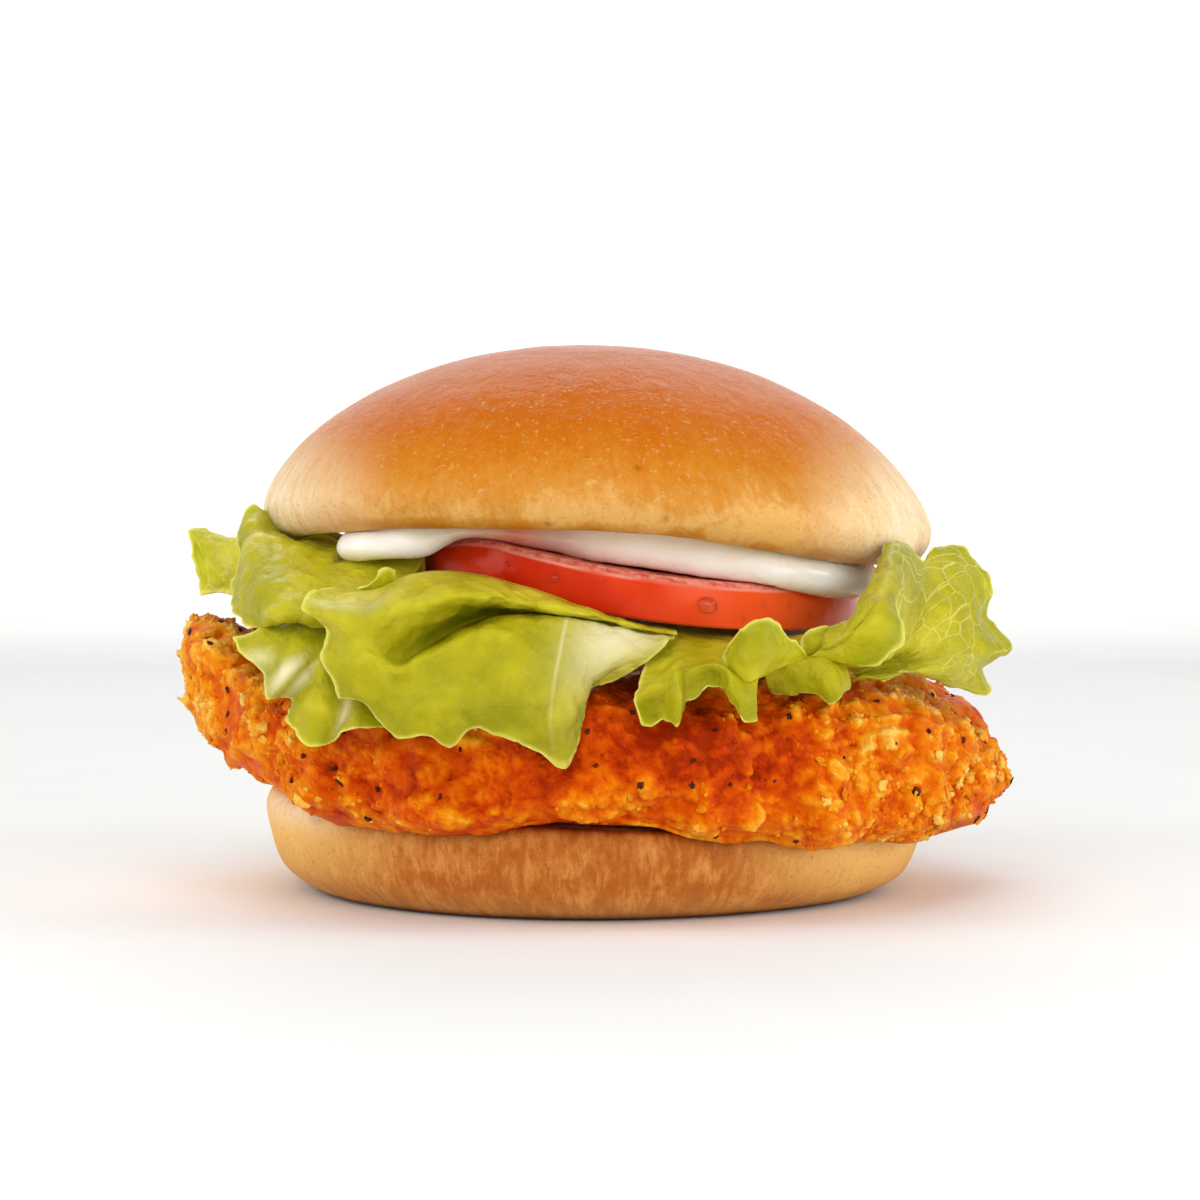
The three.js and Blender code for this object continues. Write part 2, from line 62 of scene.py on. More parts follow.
# The sizes that the frame was built from.
GAP = 0.35
LEAF_GAP = 0.6
HEEL_RADIUS = 53.2
HEEL_HEIGHT = 14.3
HEEL_SLOPE = -0.042
HEEL_WAVER = 0.5
HEEL_SIDE = [[8.7, 0], [6.3, 0.063], [2.4, 0.26], [0.5, 0.58], [0, 0.82], [1.2, 0.97], [4, 1]]
FILLET_REACH = 59.5
FILLET_OVAL = 3.5
FILLET_FORWARD = 3.2
FILLET_LOBES = [(184, 15, 3.8), (356, 13, 3.5)]
FILLET_UPPER, FILLET_LOWER = 3.6, 6
FILLET_TOP = [
    [-68, 51], [-58, 44.5], [-49, 38.5], [-38, 36.5], [0, 36.5], [30, 37.5], [45, 36.5], [56, 33],
    [63, 27], [69, 21],
]
FILLET_BOTTOM = [
    [-68, 29], [-62, 22.5], [-55, 17.5], [-45, 14.2], [-28, 12.6], [-12, 14], [8, 14],
    [18, 11.4], [48, 8.8], [57, 9.6], [63, 13], [69, 17],
]
HEEL_CLEARANCE = 0.9
CRAG_SIZE = 8.5
CRAG_HEIGHT = 1.9
TOMATO_X, TOMATO_Y = 6.7, -9
TOMATO_RADIUS = 35.5
TOMATO_THICKNESS = 7
TOMATO_TOP = 54.8
CROWN_CENTRE = 0.6
CROWN_LEAN = -1.3
CROWN_RADIUS = 54
CROWN_TOP = 87.3
CROWN_UNDERSIDE = [
    [-55, 54.2], [-49, 57], [-40, 59.3], [-28, 60.6], [-10, 61], [10, 60.2], [28, 57], [45, 53.8],
    [55, 52],
]
CROWN_EDGE_HEIGHT = 4.8
CROWN_EDGE_TUCK = 0.075
CROWN_ACROSS, CROWN_UP = 2.15, 1.5
CROWN_SPECKS = [(6.71, 68.29), (10.61, 60.93), (-6.66, 60.02), (-4.26, 55.97)]
MAYONNAISE_X, MAYONNAISE_Y = 3, -6
MAYONNAISE_OUTLINE = [
    [0, 41], [45, 34], [90, 30], [135, 32], [180, 38], [205, 45], [214, 49.5], [224, 47],
    [236, 39], [250, 35], [264, 34.5], [282, 38], [298, 41], [314, 44], [332, 45],
]
LEAF_MARGIN = LEAF_GAP + 0.4
LEAF_THICKNESS = 0.32


def smoothstep(x, low, high):
    t = np.clip((x - low) / (high - low), 0, 1)
    return t * t * (3 - 2 * t)


def hill(value, middle, width):
    return np.exp(-(((value - middle) / width) ** 2))


def in_front(y):
    """1 on the shown side and 0 behind, with a soft change between them."""
    return smoothstep(-y, 0, 14)


def stacked(*parts):
    """Points from their x, y and z, which may have different shapes."""
    return np.stack(np.broadcast_arrays(*parts), -1)


def corner(i, j, k):
    """A repeatable number between -1 and 1 for each corner of a unit grid."""
    wave = np.sin(i * 127.1 + j * 311.7 + k * 74.7) * 43758.5453
    return 2 * (wave - np.floor(wave)) - 1


def noise(p):
    """Smooth noise between -1 and 1 at points p, one bump to a unit of length."""
    base = np.floor(p)
    part = p - base
    part = part * part * (3 - 2 * part)
    total = 0
    for i in (0, 1):
        for j in (0, 1):
            for k in (0, 1):
                share = 1
                for axis, side in enumerate((i, j, k)):
                    share = share * (part[..., axis] if side else 1 - part[..., axis])
                total = total + share * corner(base[..., 0] + i, base[..., 1] + j, base[..., 2] + k)
    return total


TURN = np.array([[0.36, 0.48, -0.8], [-0.8, 0.6, 0.0], [0.48, 0.64, 0.6]])


def fractal(p, octaves, keep=0.5, ridged=False):
    """Several octaves of noise, each turned so that no grid shows. Ridged noise has sharp crests."""
    total, weight, size = 0, 1, 0
    for octave in range(octaves):
        p = p @ TURN
        value = noise(p + 7.3 * octave)
        total = total + weight * (1 - 2 * np.abs(value) if ridged else value)
        size += weight
        weight *= keep
        p = p * 2.03
    return total / size


def cells(p):
    """The nearest cell's number for each point, and the offset from that cell's middle."""
    base = np.floor(p)
    best = np.full(p.shape[:-1], 9.0)
    offset = np.zeros(p.shape)
    name = np.zeros(p.shape)
    for i in (-1, 0, 1):
        for j in (-1, 0, 1):
            for k in (-1, 0, 1):
                cell = base + np.array([i, j, k])
                a, b, c = cell[..., 0], cell[..., 1], cell[..., 2]
                shift = np.stack([corner(a, b, c), corner(b + 31, c, a), corner(c, a + 57, b)], -1)
                away = p - (cell + 0.5 + 0.45 * shift)
                distance = np.linalg.norm(away, axis=-1)
                nearer = distance < best
                best = np.where(nearer, distance, best)
                offset = np.where(nearer[..., None], away, offset)
                name = np.where(nearer[..., None], cell, name)
    return name, offset


def along(rows, place, closed=False):
    """Values of a table's rows at places, on a smooth curve through the rows."""
    rows = np.array(rows, float)
    first, count = 0, len(rows)
    if closed:
        rows = np.concatenate([rows[-2:] - [360, 0], rows, rows[:2] + [360, 0]])
        first, count = 1, len(rows) - 1
    xs, values = rows[:, 0], rows[:, 1]
    i = np.clip(np.searchsorted(xs, place) - 1, first, count - 2)
    before, after = np.maximum(i - 1, 0), np.minimum(i + 2, len(rows) - 1)
    span = xs[i + 1] - xs[i]
    t = np.clip((place - xs[i]) / span, 0, 1)
    slope_from = (values[i + 1] - values[before]) / np.maximum(xs[i + 1] - xs[before], span) * span
    slope_to = (values[after] - values[i]) / np.maximum(xs[after] - xs[i], span) * span
    return (values[i] * (2 * t**3 - 3 * t**2 + 1) + slope_from * (t**3 - 2 * t**2 + t)
            + values[i + 1] * (3 * t**2 - 2 * t**3) + slope_to * (t**3 - t**2))


def heel_top(x):
    return HEEL_HEIGHT + HEEL_SLOPE * x


def crown_underside(x, y):
    return along(CROWN_UNDERSIDE, x) + 0.04 * np.minimum(y, 0) - 5 * smoothstep(y, 14, 62)


def tomato_top(x, y):
    dip = np.maximum(0, -14 - x)
    return TOMATO_TOP - 0.18 * x + 0.03 * y + 0.002 * x * x - 0.03 * dip * dip


def fillet_reach(angle):
    turn = np.radians(angle)
    reach = FILLET_REACH + FILLET_OVAL * np.cos(2 * turn) - FILLET_FORWARD * np.sin(turn)
    for middle, width, more in FILLET_LOBES:
        reach = reach + more * hill((angle - middle + 540) % 360, 180, width)
    return reach


def fillet_middle(x):
    return (along(FILLET_TOP, x) + along(FILLET_BOTTOM, x)) / 2


def fillet_half(x):
    return (along(FILLET_TOP, x) - along(FILLET_BOTTOM, x)) / 2


def fillet_top(x, y):
    share = np.hypot(x, y) / fillet_reach(np.degrees(np.arctan2(y, x)))
    dome = np.clip(1 - share**FILLET_UPPER, 0, 1) ** (1 / FILLET_UPPER)
    return np.where(share < 1, fillet_middle(x) + fillet_half(x) * dome, -1e9)


def mayonnaise_reach(angle):
    return along(MAYONNAISE_OUTLINE, angle % 360, closed=True)


def mayonnaise_top(x, y):
    return crown_underside(x, y) - 2 * GAP


def mayonnaise_bottom(x, y):
    depth = 3.2 + 1.4 * smoothstep(x, -12, 12)
    return np.maximum(mayonnaise_top(x, y) - depth, tomato_top(x, y) + 2.8 * GAP)


def polar(angle, reach):
    return reach * np.cos(np.radians(angle)), reach * np.sin(np.radians(angle))


def circle(around):
    """Evenly spaced angles in degrees, as a row."""
    return np.linspace(0, 360, around, endpoint=False)[None, :]


def pixel_size(y, z):
    """The size of a pixel of the photograph at depth y and height z."""
    return PIXEL * (CAMERA_DISTANCE + y * LEVEL - (z - AIM_HEIGHT) * RISE) / CAMERA_DISTANCE


def columns(rows):
    """The numbers of each kind in a list of rows, as columns."""
    return (np.array(column)[:, None] for column in zip(*rows))


# Meshes.
def add_mesh(name, points, faces, node=None, slot=None, material=None, values=None):
    """A piece from points that rides on the burger. values are its points' own numbers by name."""
    mesh = bpy.data.meshes.new(name)
    mesh.from_pydata((np.asarray(points) * MM).tolist(), [], faces)
    mesh.polygons.foreach_set("use_smooth", [True] * len(mesh.polygons))
    for key, value in (values or {}).items():
        value = np.asarray(value, np.float32)
        kind = "FLOAT_VECTOR" if value.ndim > 1 else "FLOAT"
        layer = mesh.attributes.new(key, kind, "POINT")
        layer.data.foreach_set("vector" if value.ndim > 1 else "value", value.ravel())
    mesh.update()
    piece = bpy.data.objects.new(name, mesh)
    bpy.context.scene.collection.objects.link(piece)
    if material:
        mesh.materials.append(material)
    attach(piece, "root")
    if node:
        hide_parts(node)
    return piece


def ring_faces(rings, around):
    """Faces of a round body: a point, rings of points from the top down, and a point."""
    faces = []
    last = 1 + rings * around
    for i in range(around):
        j = (i + 1) % around
        faces.append((0, 1 + i, 1 + j))
        faces.append((last, last - around + j, last - around + i))
    for ring in range(rings - 1):
        start = 1 + ring * around
        for i in range(around):
            j = (i + 1) % around
            faces.append((start + i, start + around + i, start + around + j, start + j))
    return faces


def ring_normals(grid):
    """Outward directions of a (rings, around, 3) grid whose rings run from the top down, anticlockwise."""
    normal = np.cross(np.gradient(grid, axis=0), np.roll(grid, -1, 1) - np.roll(grid, 1, 1))
    return normal / np.maximum(np.linalg.norm(normal, axis=-1, keepdims=True), 1e-9)


def with_ends(grid, at_top, at_bottom):
    """A grid's points or numbers one after the other, between those of its two end points."""
    grid = np.asarray(grid, float)
    return np.concatenate([[at_top], grid.reshape((-1,) + grid.shape[2:]), [at_bottom]])


def add_round(name, node, slot, material, grid, top, bottom, **values):
    """A round piece. Each of its values is (numbers on the grid, number at the top, number at the bottom)."""
    flat = {}
    for key, (numbers, at_top, at_bottom) in values.items():
        if np.ndim(numbers) == 2:
            numbers = np.broadcast_to(numbers, grid.shape[:2])
        flat[key] = with_ends(numbers, at_top, at_bottom)
    faces = ring_faces(*grid.shape[:2])
    return add_mesh(name, with_ends(grid, top, bottom), faces, node, slot, material, flat)


# Materials.
def srgb(r, g, b):
    return tuple(c / 12.92 if c <= 0.04045 else ((c + 0.055) / 1.055) ** 2.4 for c in (r, g, b)) + (1,)


class Shader:
    """A material under construction. Its methods add nodes and return the last one's output."""

    def __init__(self, name, **sockets):
        self.material = bpy.data.materials.new(name)
        self.material.use_nodes = True
        self.tree = self.material.node_tree
        self.surface = self.tree.nodes["Principled BSDF"]
        for key, value in sockets.items():
            self.surface.inputs[key.replace("_", " ")].default_value = value

    def set(self, socket, value):
        if isinstance(value, bpy.types.NodeSocket):
            self.tree.links.new(value, socket)
        else:
            socket.default_value = value

    def colour(self, value):
        self.set(self.surface.inputs["Base Color"], value)

    def roughness(self, value):
        self.set(self.surface.inputs["Roughness"], value)

    def own(self, name, vector=False):
        node = self.tree.nodes.new("ShaderNodeAttribute")
        node.attribute_name = name
        return node.outputs["Vector" if vector else "Fac"]

    def place(self):
        """Position on the object in millimetres."""
        mapping = self.tree.nodes.new("ShaderNodeMapping")
        source = self.tree.nodes.new("ShaderNodeTexCoord").outputs["Object"]
        self.tree.links.new(source, mapping.inputs["Vector"])
        mapping.inputs["Scale"].default_value = [1 / MM] * 3
        return mapping.outputs["Vector"]

    def noise(self, size, detail=3, roughness=0.5, distortion=0, place=None):
        """Noise whose bumps are about size millimetres wide, from 0 to 1."""
        node = self.tree.nodes.new("ShaderNodeTexNoise")
        self.tree.links.new(place or self.place(), node.inputs["Vector"])
        node.inputs["Scale"].default_value = 1 / size
        node.inputs["Detail"].default_value = detail
        node.inputs["Roughness"].default_value = roughness
        node.inputs["Distortion"].default_value = distortion
        return node.outputs["Fac"]

    def tint_noise(self, size, place):
        """Noise with three values, for bending positions."""
        return self.noise(size, 2, place=place).node.outputs["Color"]

    def cells(self, size, place):
        """How far each point is from the edges of cells about size millimetres wide."""
        node = self.tree.nodes.new("ShaderNodeTexVoronoi")
        node.feature = "DISTANCE_TO_EDGE"
        self.tree.links.new(place, node.inputs["Vector"])
        node.inputs["Scale"].default_value = 1 / size
        return node.outputs["Distance"]

    def ramp(self, factor, *stops):
        """stops are (place, colour) or (place, grey value)."""
        node = self.tree.nodes.new("ShaderNodeValToRGB")
        self.set(node.inputs["Fac"], factor)
        elements = node.color_ramp.elements
        while len(elements) < len(stops):
            elements.new(0.5)
        for element, (place, value) in zip(elements, stops):
            element.position = place
            element.color = value if isinstance(value, tuple) else (value, value, value, 1)
        return node.outputs["Color"]

    def mix(self, factor, a, b, blend="MIX"):
        node = self.tree.nodes.new("ShaderNodeMix")
        node.data_type = "RGBA"
        node.blend_type = blend
        self.set(node.inputs[0], factor)
        self.set(node.inputs[6], a)
        self.set(node.inputs[7], b)
        return node.outputs[2]

    def math(self, operation, a, b=0.0):
        node = self.tree.nodes.new("ShaderNodeMath")
        node.operation = operation
        self.set(node.inputs[0], a)
        self.set(node.inputs[1], b)
        return node.outputs[0]

    def total(self, *layers):
        """The sum of layers, which are (output, weight)."""
        parts = [self.math("MULTIPLY", value, weight) for value, weight in layers]
        result = parts[0]
        for part in parts[1:]:
            result = self.math("ADD", result, part)
        return result

    def varied(self, result, *layers):
        """A number with noises added to it, which are (output, weight)."""
        for value, weight in layers:
            swing = self.math("MULTIPLY", self.math("SUBTRACT", value, 0.5), weight)
            result = self.math("ADD", result, swing)
        return result

    def crumb(self, crust):
        """The crust's colour, or bread crumb where the surface is cut."""
        crumb = self.ramp(self.noise(1.4, 4, 0.7), (0.3, srgb(0.93, 0.84, 0.66)),
                          (0.7, srgb(0.99, 0.95, 0.84)))
        self.colour(self.mix(self.own("cut"), crust, crumb))

    def bump(self, *layers):
        """layers are (height output, height in millimetres)."""
        normal = None
        for height, size in layers:
            node = self.tree.nodes.new("ShaderNodeBump")
            node.inputs["Distance"].default_value = size * MM
            self.tree.links.new(height, node.inputs["Height"])
            if normal:
                self.tree.links.new(normal, node.inputs["Normal"])
            normal = node.outputs["Normal"]
        self.tree.links.new(normal, self.surface.inputs["Normal"])


def crown_material():
    s = Shader("crown_crust", Specular_IOR_Level=0.05, Specular_Tint=srgb(1, 0.7, 0.35))
    streaks = s.noise(1.5, 4, 0.65, 0.3, place=s.own("grain", vector=True))
    mottle = s.noise(2.6, 4, 0.65, 0.8)
    broad = s.noise(14, 2, 0.5, 0.4)
    bake = s.varied(s.own("bake"), (broad, 0.35), (streaks, 0.4), (mottle, 0.5))
    base = s.ramp(bake, (0.0, srgb(0.87, 0.66, 0.37)), (0.18, srgb(0.8, 0.54, 0.22)),
                  (0.4, srgb(0.78, 0.47, 0.11)), (0.65, srgb(0.76, 0.39, 0.03)),
                  (1.0, srgb(0.72, 0.35, 0.05)))
    # Paler crust towards both sides low down: partly a lighter bake, partly painted highlight from the side
    # lamps.
    patchy = s.ramp(s.total((streaks, 0.6), (broad, 0.4)), (0.36, 0.55), (0.58, 1.0))
    base = s.mix(s.math("MULTIPLY", s.own("pale"), patchy), base, srgb(0.98, 0.9, 0.74))
    freckles = s.ramp(s.noise(0.6, 2, 0.5), (0.6, 0.0), (0.7, 1.0))
    base = s.mix(s.math("MULTIPLY", freckles, 0.3), base, srgb(0.7, 0.4, 0.15))
    light = s.ramp(s.noise(0.9, 3, 0.6), (0.58, 0.0), (0.7, 1.0))
    base = s.mix(s.math("MULTIPLY", light, 0.4), base, srgb(0.93, 0.74, 0.45))
    s.crumb(s.mix(s.own("speck"), base, srgb(0.5, 0.24, 0.1)))
    s.roughness(s.ramp(s.total((mottle, 0.5), (s.own("bake"), -0.35)), (0.0, 0.27), (0.3, 0.5)))
    s.bump((s.noise(9, 2, 0.5), 0.5), (mottle, 0.35), (streaks, 0.1), (light, 0.08))
    return s.material


def heel_material():
    s = Shader("heel_crust", Specular_IOR_Level=0.15)
    streaks = s.noise(1.1, 4, 0.65, 0.4, place=s.own("grain", vector=True))
    blotches = s.noise(7, 3, 0.6, 0.6)
    base = s.ramp(s.total((streaks, 0.6), (blotches, 0.5)), (0.3, srgb(0.62, 0.31, 0.08)),
                  (0.52, srgb(0.71, 0.4, 0.13)), (0.75, srgb(0.86, 0.6, 0.3)))
    base = s.mix(s.own("pale"), base, srgb(0.94, 0.75, 0.42))
    base = s.mix(s.own("rim"), base, srgb(0.4, 0.16, 0.06))
    freckles = s.ramp(s.noise(0.6, 2, 0.5), (0.6, 0.0), (0.72, 1.0))
    s.crumb(s.mix(s.math("MULTIPLY", freckles, 0.35), base, srgb(0.5, 0.26, 0.1)))
    s.roughness(s.ramp(streaks, (0.3, 0.75), (0.7, 0.6)))
    s.bump((blotches, 0.4), (streaks, 0.25), (freckles, 0.05))
    return s.material


def coating_material(name, tint):
    """Fried coating: glossy red-orange in the hollows, golden on the crags. The hollows' deeper red is partly
    painted shade, the crags' gold partly painted highlight.
    """
    s = Shader(name, Specular_IOR_Level=0.16, Specular_Tint=srgb(1, 0.72, 0.4))
    fine = s.noise(0.8, 4, 0.65)
    patches = s.noise(5, 3, 0.6, 0.6)
    tone = s.math("ADD", s.varied(s.own("relief"), (fine, 0.45), (patches, 0.45)), tint)
    s.colour(s.ramp(tone, (0.0, srgb(0.6, 0.13, 0.0)), (0.2, srgb(0.75, 0.22, 0.0)),
                    (0.4, srgb(0.84, 0.33, 0.0)), (0.6, srgb(0.89, 0.46, 0.02)),
                    (0.8, srgb(0.94, 0.61, 0.1)), (1.0, srgb(0.98, 0.78, 0.36))))
    s.roughness(s.ramp(tone, (0.1, 0.26), (0.8, 0.55)))
    s.bump((fine, 0.3), (patches, 0.3))
    return s.material


def lettuce_material():
    s = Shader("lettuce", Specular_IOR_Level=0.28, Specular_Tint=srgb(1, 1, 0.6), Coat_Weight=0.04,
               Coat_Roughness=0.25, Subsurface_Weight=0.35, Subsurface_Scale=0.003,
               Subsurface_Radius=(0.5, 1.0, 0.15))
    sheet = s.own("sheet", vector=True)
    patches = s.noise(9, 3, 0.6, 0.4)
    # Tone: greener towards the edge and in random patches, which is the leaf's own colour, and darker with
    # the folds, which is painted shade.
    tone = s.total((s.own("outward"), 0.3), (patches, 0.5), (s.own("fold"), 0.4))
    base = s.ramp(tone, (0.25, srgb(0.9, 0.87, 0.33)), (0.45, srgb(0.77, 0.74, 0.15)),
                  (0.65, srgb(0.68, 0.65, 0.07)), (0.9, srgb(0.56, 0.55, 0.04)))
    bent = s.mix(0.6, sheet, s.tint_noise(4, place=sheet), blend="ADD")
    net = s.cells(7.0, place=bent)
    fine_net = s.cells(2.6, place=bent)
    veins = s.math("MULTIPLY", s.ramp(net, (0.0, 1.0), (0.025, 0.0)), s.own("veined"))
    faint = s.math("MULTIPLY", s.own("veined"), 0.35)
    fine_veins = s.math("MULTIPLY", s.ramp(fine_net, (0.0, 1.0), (0.05, 0.0)), faint)
    for place, colour in ((veins, srgb(0.9, 0.88, 0.5)), (fine_veins, srgb(0.86, 0.85, 0.4)),
                          (s.own("rib"), srgb(0.94, 0.93, 0.72)), (s.own("rim"), srgb(0.9, 0.9, 0.42))):
        base = s.mix(place, base, colour)
    s.colour(base)
    s.roughness(s.ramp(patches, (0.3, 0.42), (0.7, 0.34)))
    s.bump((net, 0.25), (fine_net, 0.15), (s.noise(1.8, 3, 0.6), 0.4))
    return s.material


def tomato_material():
    s = Shader("tomato", Specular_IOR_Level=0.25, Specular_Tint=srgb(1, 0.75, 0.6), Coat_Weight=0.06,
               Coat_Roughness=0.12, Subsurface_Weight=0.2, Subsurface_Scale=0.003,
               Subsurface_Radius=(1.0, 0.2, 0.08))
    patches = s.noise(9, 3, 0.5, 0.4)
    skin = s.ramp(patches, (0.3, srgb(0.8, 0.12, 0.03)), (0.7, srgb(0.9, 0.24, 0.08)))
    # Painted light: the skin turns lighter orange-red towards the right end.
    skin = s.mix(s.own("warm"), skin, srgb(1.0, 0.38, 0.16))
    flesh = s.ramp(s.noise(1.6, 4, 0.6), (0.35, srgb(0.88, 0.3, 0.22)), (0.65, srgb(1.0, 0.68, 0.6)))
    base = s.mix(s.own("cut"), skin, flesh)
    # Painted highlight: a pale pink line along the top edge of the skin.
    s.colour(s.mix(s.own("edge"), base, srgb(1.0, 0.8, 0.74)))
    s.roughness(s.ramp(patches, (0.3, 0.2), (0.7, 0.28)))
    s.bump((s.noise(3, 3, 0.5), 0.15))
    return s.material


def mayonnaise_material():
    s = Shader("mayonnaise", Specular_IOR_Level=0.45, Coat_Weight=0.2, Coat_Roughness=0.15,
               Subsurface_Weight=0.2, Subsurface_Scale=0.003, Subsurface_Radius=(1.0, 0.85, 0.6))
    patches = s.noise(6, 3, 0.5, 0.4)
    white = s.ramp(patches, (0.3, srgb(0.99, 0.95, 0.91)), (0.7, srgb(1.0, 0.98, 0.96)))
    s.colour(s.mix(s.own("film"), white, srgb(0.93, 0.55, 0.42)))
    s.roughness(s.ramp(patches, (0.3, 0.3), (0.7, 0.22)))
    s.bump((s.noise(4, 3, 0.5), 0.3))
    return s.material


def water_material():
    s = Shader("water", Specular_IOR_Level=0.5, Transmission_Weight=1.0, IOR=1.33)
    s.colour(srgb(0.98, 0.98, 0.98))
    s.roughness(s.ramp(s.noise(1, 2, 0.5), (0.0, 0.02), (1.0, 0.05)))
    return s.material


def pepper_material():
    s = Shader("pepper", Specular_IOR_Level=0.1)
    s.colour(s.ramp(s.noise(0.5, 3, 0.6), (0.35, srgb(0.16, 0.07, 0.03)), (0.65, srgb(0.4, 0.18, 0.06))))
    s.roughness(s.ramp(s.noise(0.5, 2, 0.5), (0.3, 0.6), (0.7, 0.45)))
    s.bump((s.noise(0.3, 2, 0.5), 0.05))
    return s.material


# The bun's upper half.
def crown():
    around, dome, edge = 360, 110, 26
    turns = np.radians(np.linspace(0, 90, dome + 1)[1:])
    rows = [(np.sin(t) ** (2 / CROWN_ACROSS), max(0, np.cos(t)) ** (2 / CROWN_UP), 0) for t in turns]
    for t in np.radians(np.linspace(0, 90, edge + 1)[1:]):
        rows.append((1 - CROWN_EDGE_TUCK * (1 - np.cos(t)), 0, np.sin(t)))
    flat = len(rows)
    rows += [(r, 0, 1) for r in np.linspace(0.92, 0.04, 30)]
    reach, high, low = columns(rows)
    ca, sa = polar(circle(around), 1)
    x = CROWN_CENTRE + CROWN_LEAN * high + CROWN_RADIUS * reach * ca
    y = CROWN_RADIUS * reach * sa
    rim = 0.95 * CROWN_RADIUS
    on_flat = (np.arange(len(rows)) >= flat)[:, None]
    below = crown_underside(np.where(on_flat, x, CROWN_CENTRE + rim * ca), np.where(on_flat, y, rim * sa))
    widest = below + CROWN_EDGE_HEIGHT
    grid = stacked(x, y, widest + (CROWN_TOP - widest) * high - CROWN_EDGE_HEIGHT * low)
    crust, crumb = np.where(on_flat, 0, 1.0), np.where(on_flat, 1.0, 0)
    swell = 0.35 * fractal(grid / 22, 3) + 0.1 * fractal(grid / 5, 3)
    folds = fractal(stacked(30 * ca, 30 * sa, grid[..., 2] / 7) / 2.2, 2)
    creases = -0.25 * np.clip(folds - 0.25, 0, 1) * hill(high, 0, 0.2)
    grid = grid + ring_normals(grid) * ((swell + creases) * crust)[..., None]
    grid[..., 2] += crumb * 0.25 * np.abs(fractal(grid / 1.6, 2))
    grid[..., 2] = np.minimum(grid[..., 2], CROWN_TOP)
    z = grid[..., 2]
    bake = np.clip((z - 61) / 24, 0, 1) ** 0.85 * crust
    bake = bake + 0.3 * smoothstep(low, 0.5, 0.9) * (0.5 + 0.9 * noise(grid / 5)) * crust
    bake = bake + 0.5 * hill(x, -46, 9) * hill(z, 60, 2.2) * in_front(y)
    # Paler towards both sides low down: partly a lighter bake, partly painted highlight from the side lamps.
    pale = 0.95 * smoothstep(np.abs(x), 28, 50) * (1 - smoothstep(z, 62, 79)) * crust
    speck = sum(0.7 * hill(x, across, 0.4) * hill(z, up, 0.35) * (y < -10) for across, up in CROWN_SPECKS)
    grain = np.where((high > 0.93)[..., None], grid, stacked(50 * ca, 50 * sa, z * 0.28))
    top = [CROWN_CENTRE + CROWN_LEAN, 0, CROWN_TOP]
    bottom = [CROWN_CENTRE, 0, float(crown_underside(CROWN_CENTRE, 0))]
    add_round("bun_crown", "crown", "crown_crust", crown_material(), grid, top, bottom,
              bake=(bake, 1, 0), pale=(pale, 0, 0), speck=(np.clip(speck, 0, 1), 0, 0), cut=(crumb, 0, 1),
              grain=(grain, [0, 0, 24], [0, 0, 0]))


# The bun's lower half.
def heel_profile(count):
    """Points of the heel's side from its base up, on a smooth curve through the frame's."""
    points = np.array([[HEEL_RADIUS - inset, share * HEEL_HEIGHT] for inset, share in HEEL_SIDE])
    spot = np.linspace(0, len(points) - 1, count)
    i = np.minimum(spot.astype(int), len(points) - 2)
    t = (spot - i)[:, None]
    p0, p1, p2 = points[np.maximum(i - 1, 0)], points[i], points[i + 1]
    p3 = points[np.minimum(i + 2, len(points) - 1)]
    v0, v1 = (p2 - p0) / 2, (p3 - p1) / 2
    return (2 * p1 - 2 * p2 + v0 + v1) * t**3 + (3 * p2 - 3 * p1 - 2 * v0 - v1) * t**2 + v0 * t + p1


def heel():
    flat, side = 14, 46
    rows = [[r, HEEL_HEIGHT] for r in np.linspace(3, HEEL_RADIUS - 5, flat)]
    rows += heel_profile(side)[::-1].tolist()
    rows += [[r, 0] for r in np.linspace(HEEL_RADIUS - 10, 3, flat)]
    reach, height = columns(rows)
    ca, sa = polar(circle(360), 1)
    reach = reach + np.where(height > 0, HEEL_WAVER * noise(stacked(2 * ca, 2 * sa, 5)), 0)
    x, y = reach * ca, reach * sa
    grid = stacked(x, y, height * heel_top(x) / HEEL_HEIGHT)
    row = np.arange(len(rows))[:, None]
    on_side = ((row > flat) & (row < flat + side - 2)) * 1.0
    on_top = (row < flat) * 1.0
    swell = 0.3 * fractal(grid / 14, 3) + 0.12 * fractal(grid / np.array([3, 3, 7]), 3)
    swell = swell * on_side * smoothstep(grid[..., 2], 0.2, 2.5)
    grid = grid + ring_normals(grid) * swell[..., None]
    grid[..., 2] = np.maximum(grid[..., 2], 0)
    z = grid[..., 2]
    share = z / heel_top(x)
    rim = 0.85 * hill(z, 0, 0.8) + 0.6 * hill(x, -43, 1.0) * hill(z, 13.7, 0.7) * (y < 0)
    pale = smoothstep(np.abs(x + 4), 20, 48) * (0.5 + 0.5 * smoothstep(share, 0.1, 0.7))
    pale = np.maximum(pale, 0.25 * (1 - smoothstep(z, 1, 6)))
    crumbly = 0.7 * smoothstep(-x, 36, 46) * smoothstep(share, 0.6, 0.95) * in_front(y)
    grain = stacked(52 * ca, 52 * sa, z * 0.35)
    add_round("bun_heel", "heel", "heel_crust", heel_material(), grid, [0, 0, HEEL_HEIGHT], [0, 0, 0],
              rim=(np.clip(rim, 0, 1), 0, 0.5), pale=(pale, 0, 0), cut=(np.maximum(on_top, crumbly), 1, 0),
              grain=(grain, [0, 0, 0], [0, 0, 0]))


# The fried fillet and its coating.
FILLET_COARSE, FILLET_SIDE, FILLET_UNDER = 14, 58, 30


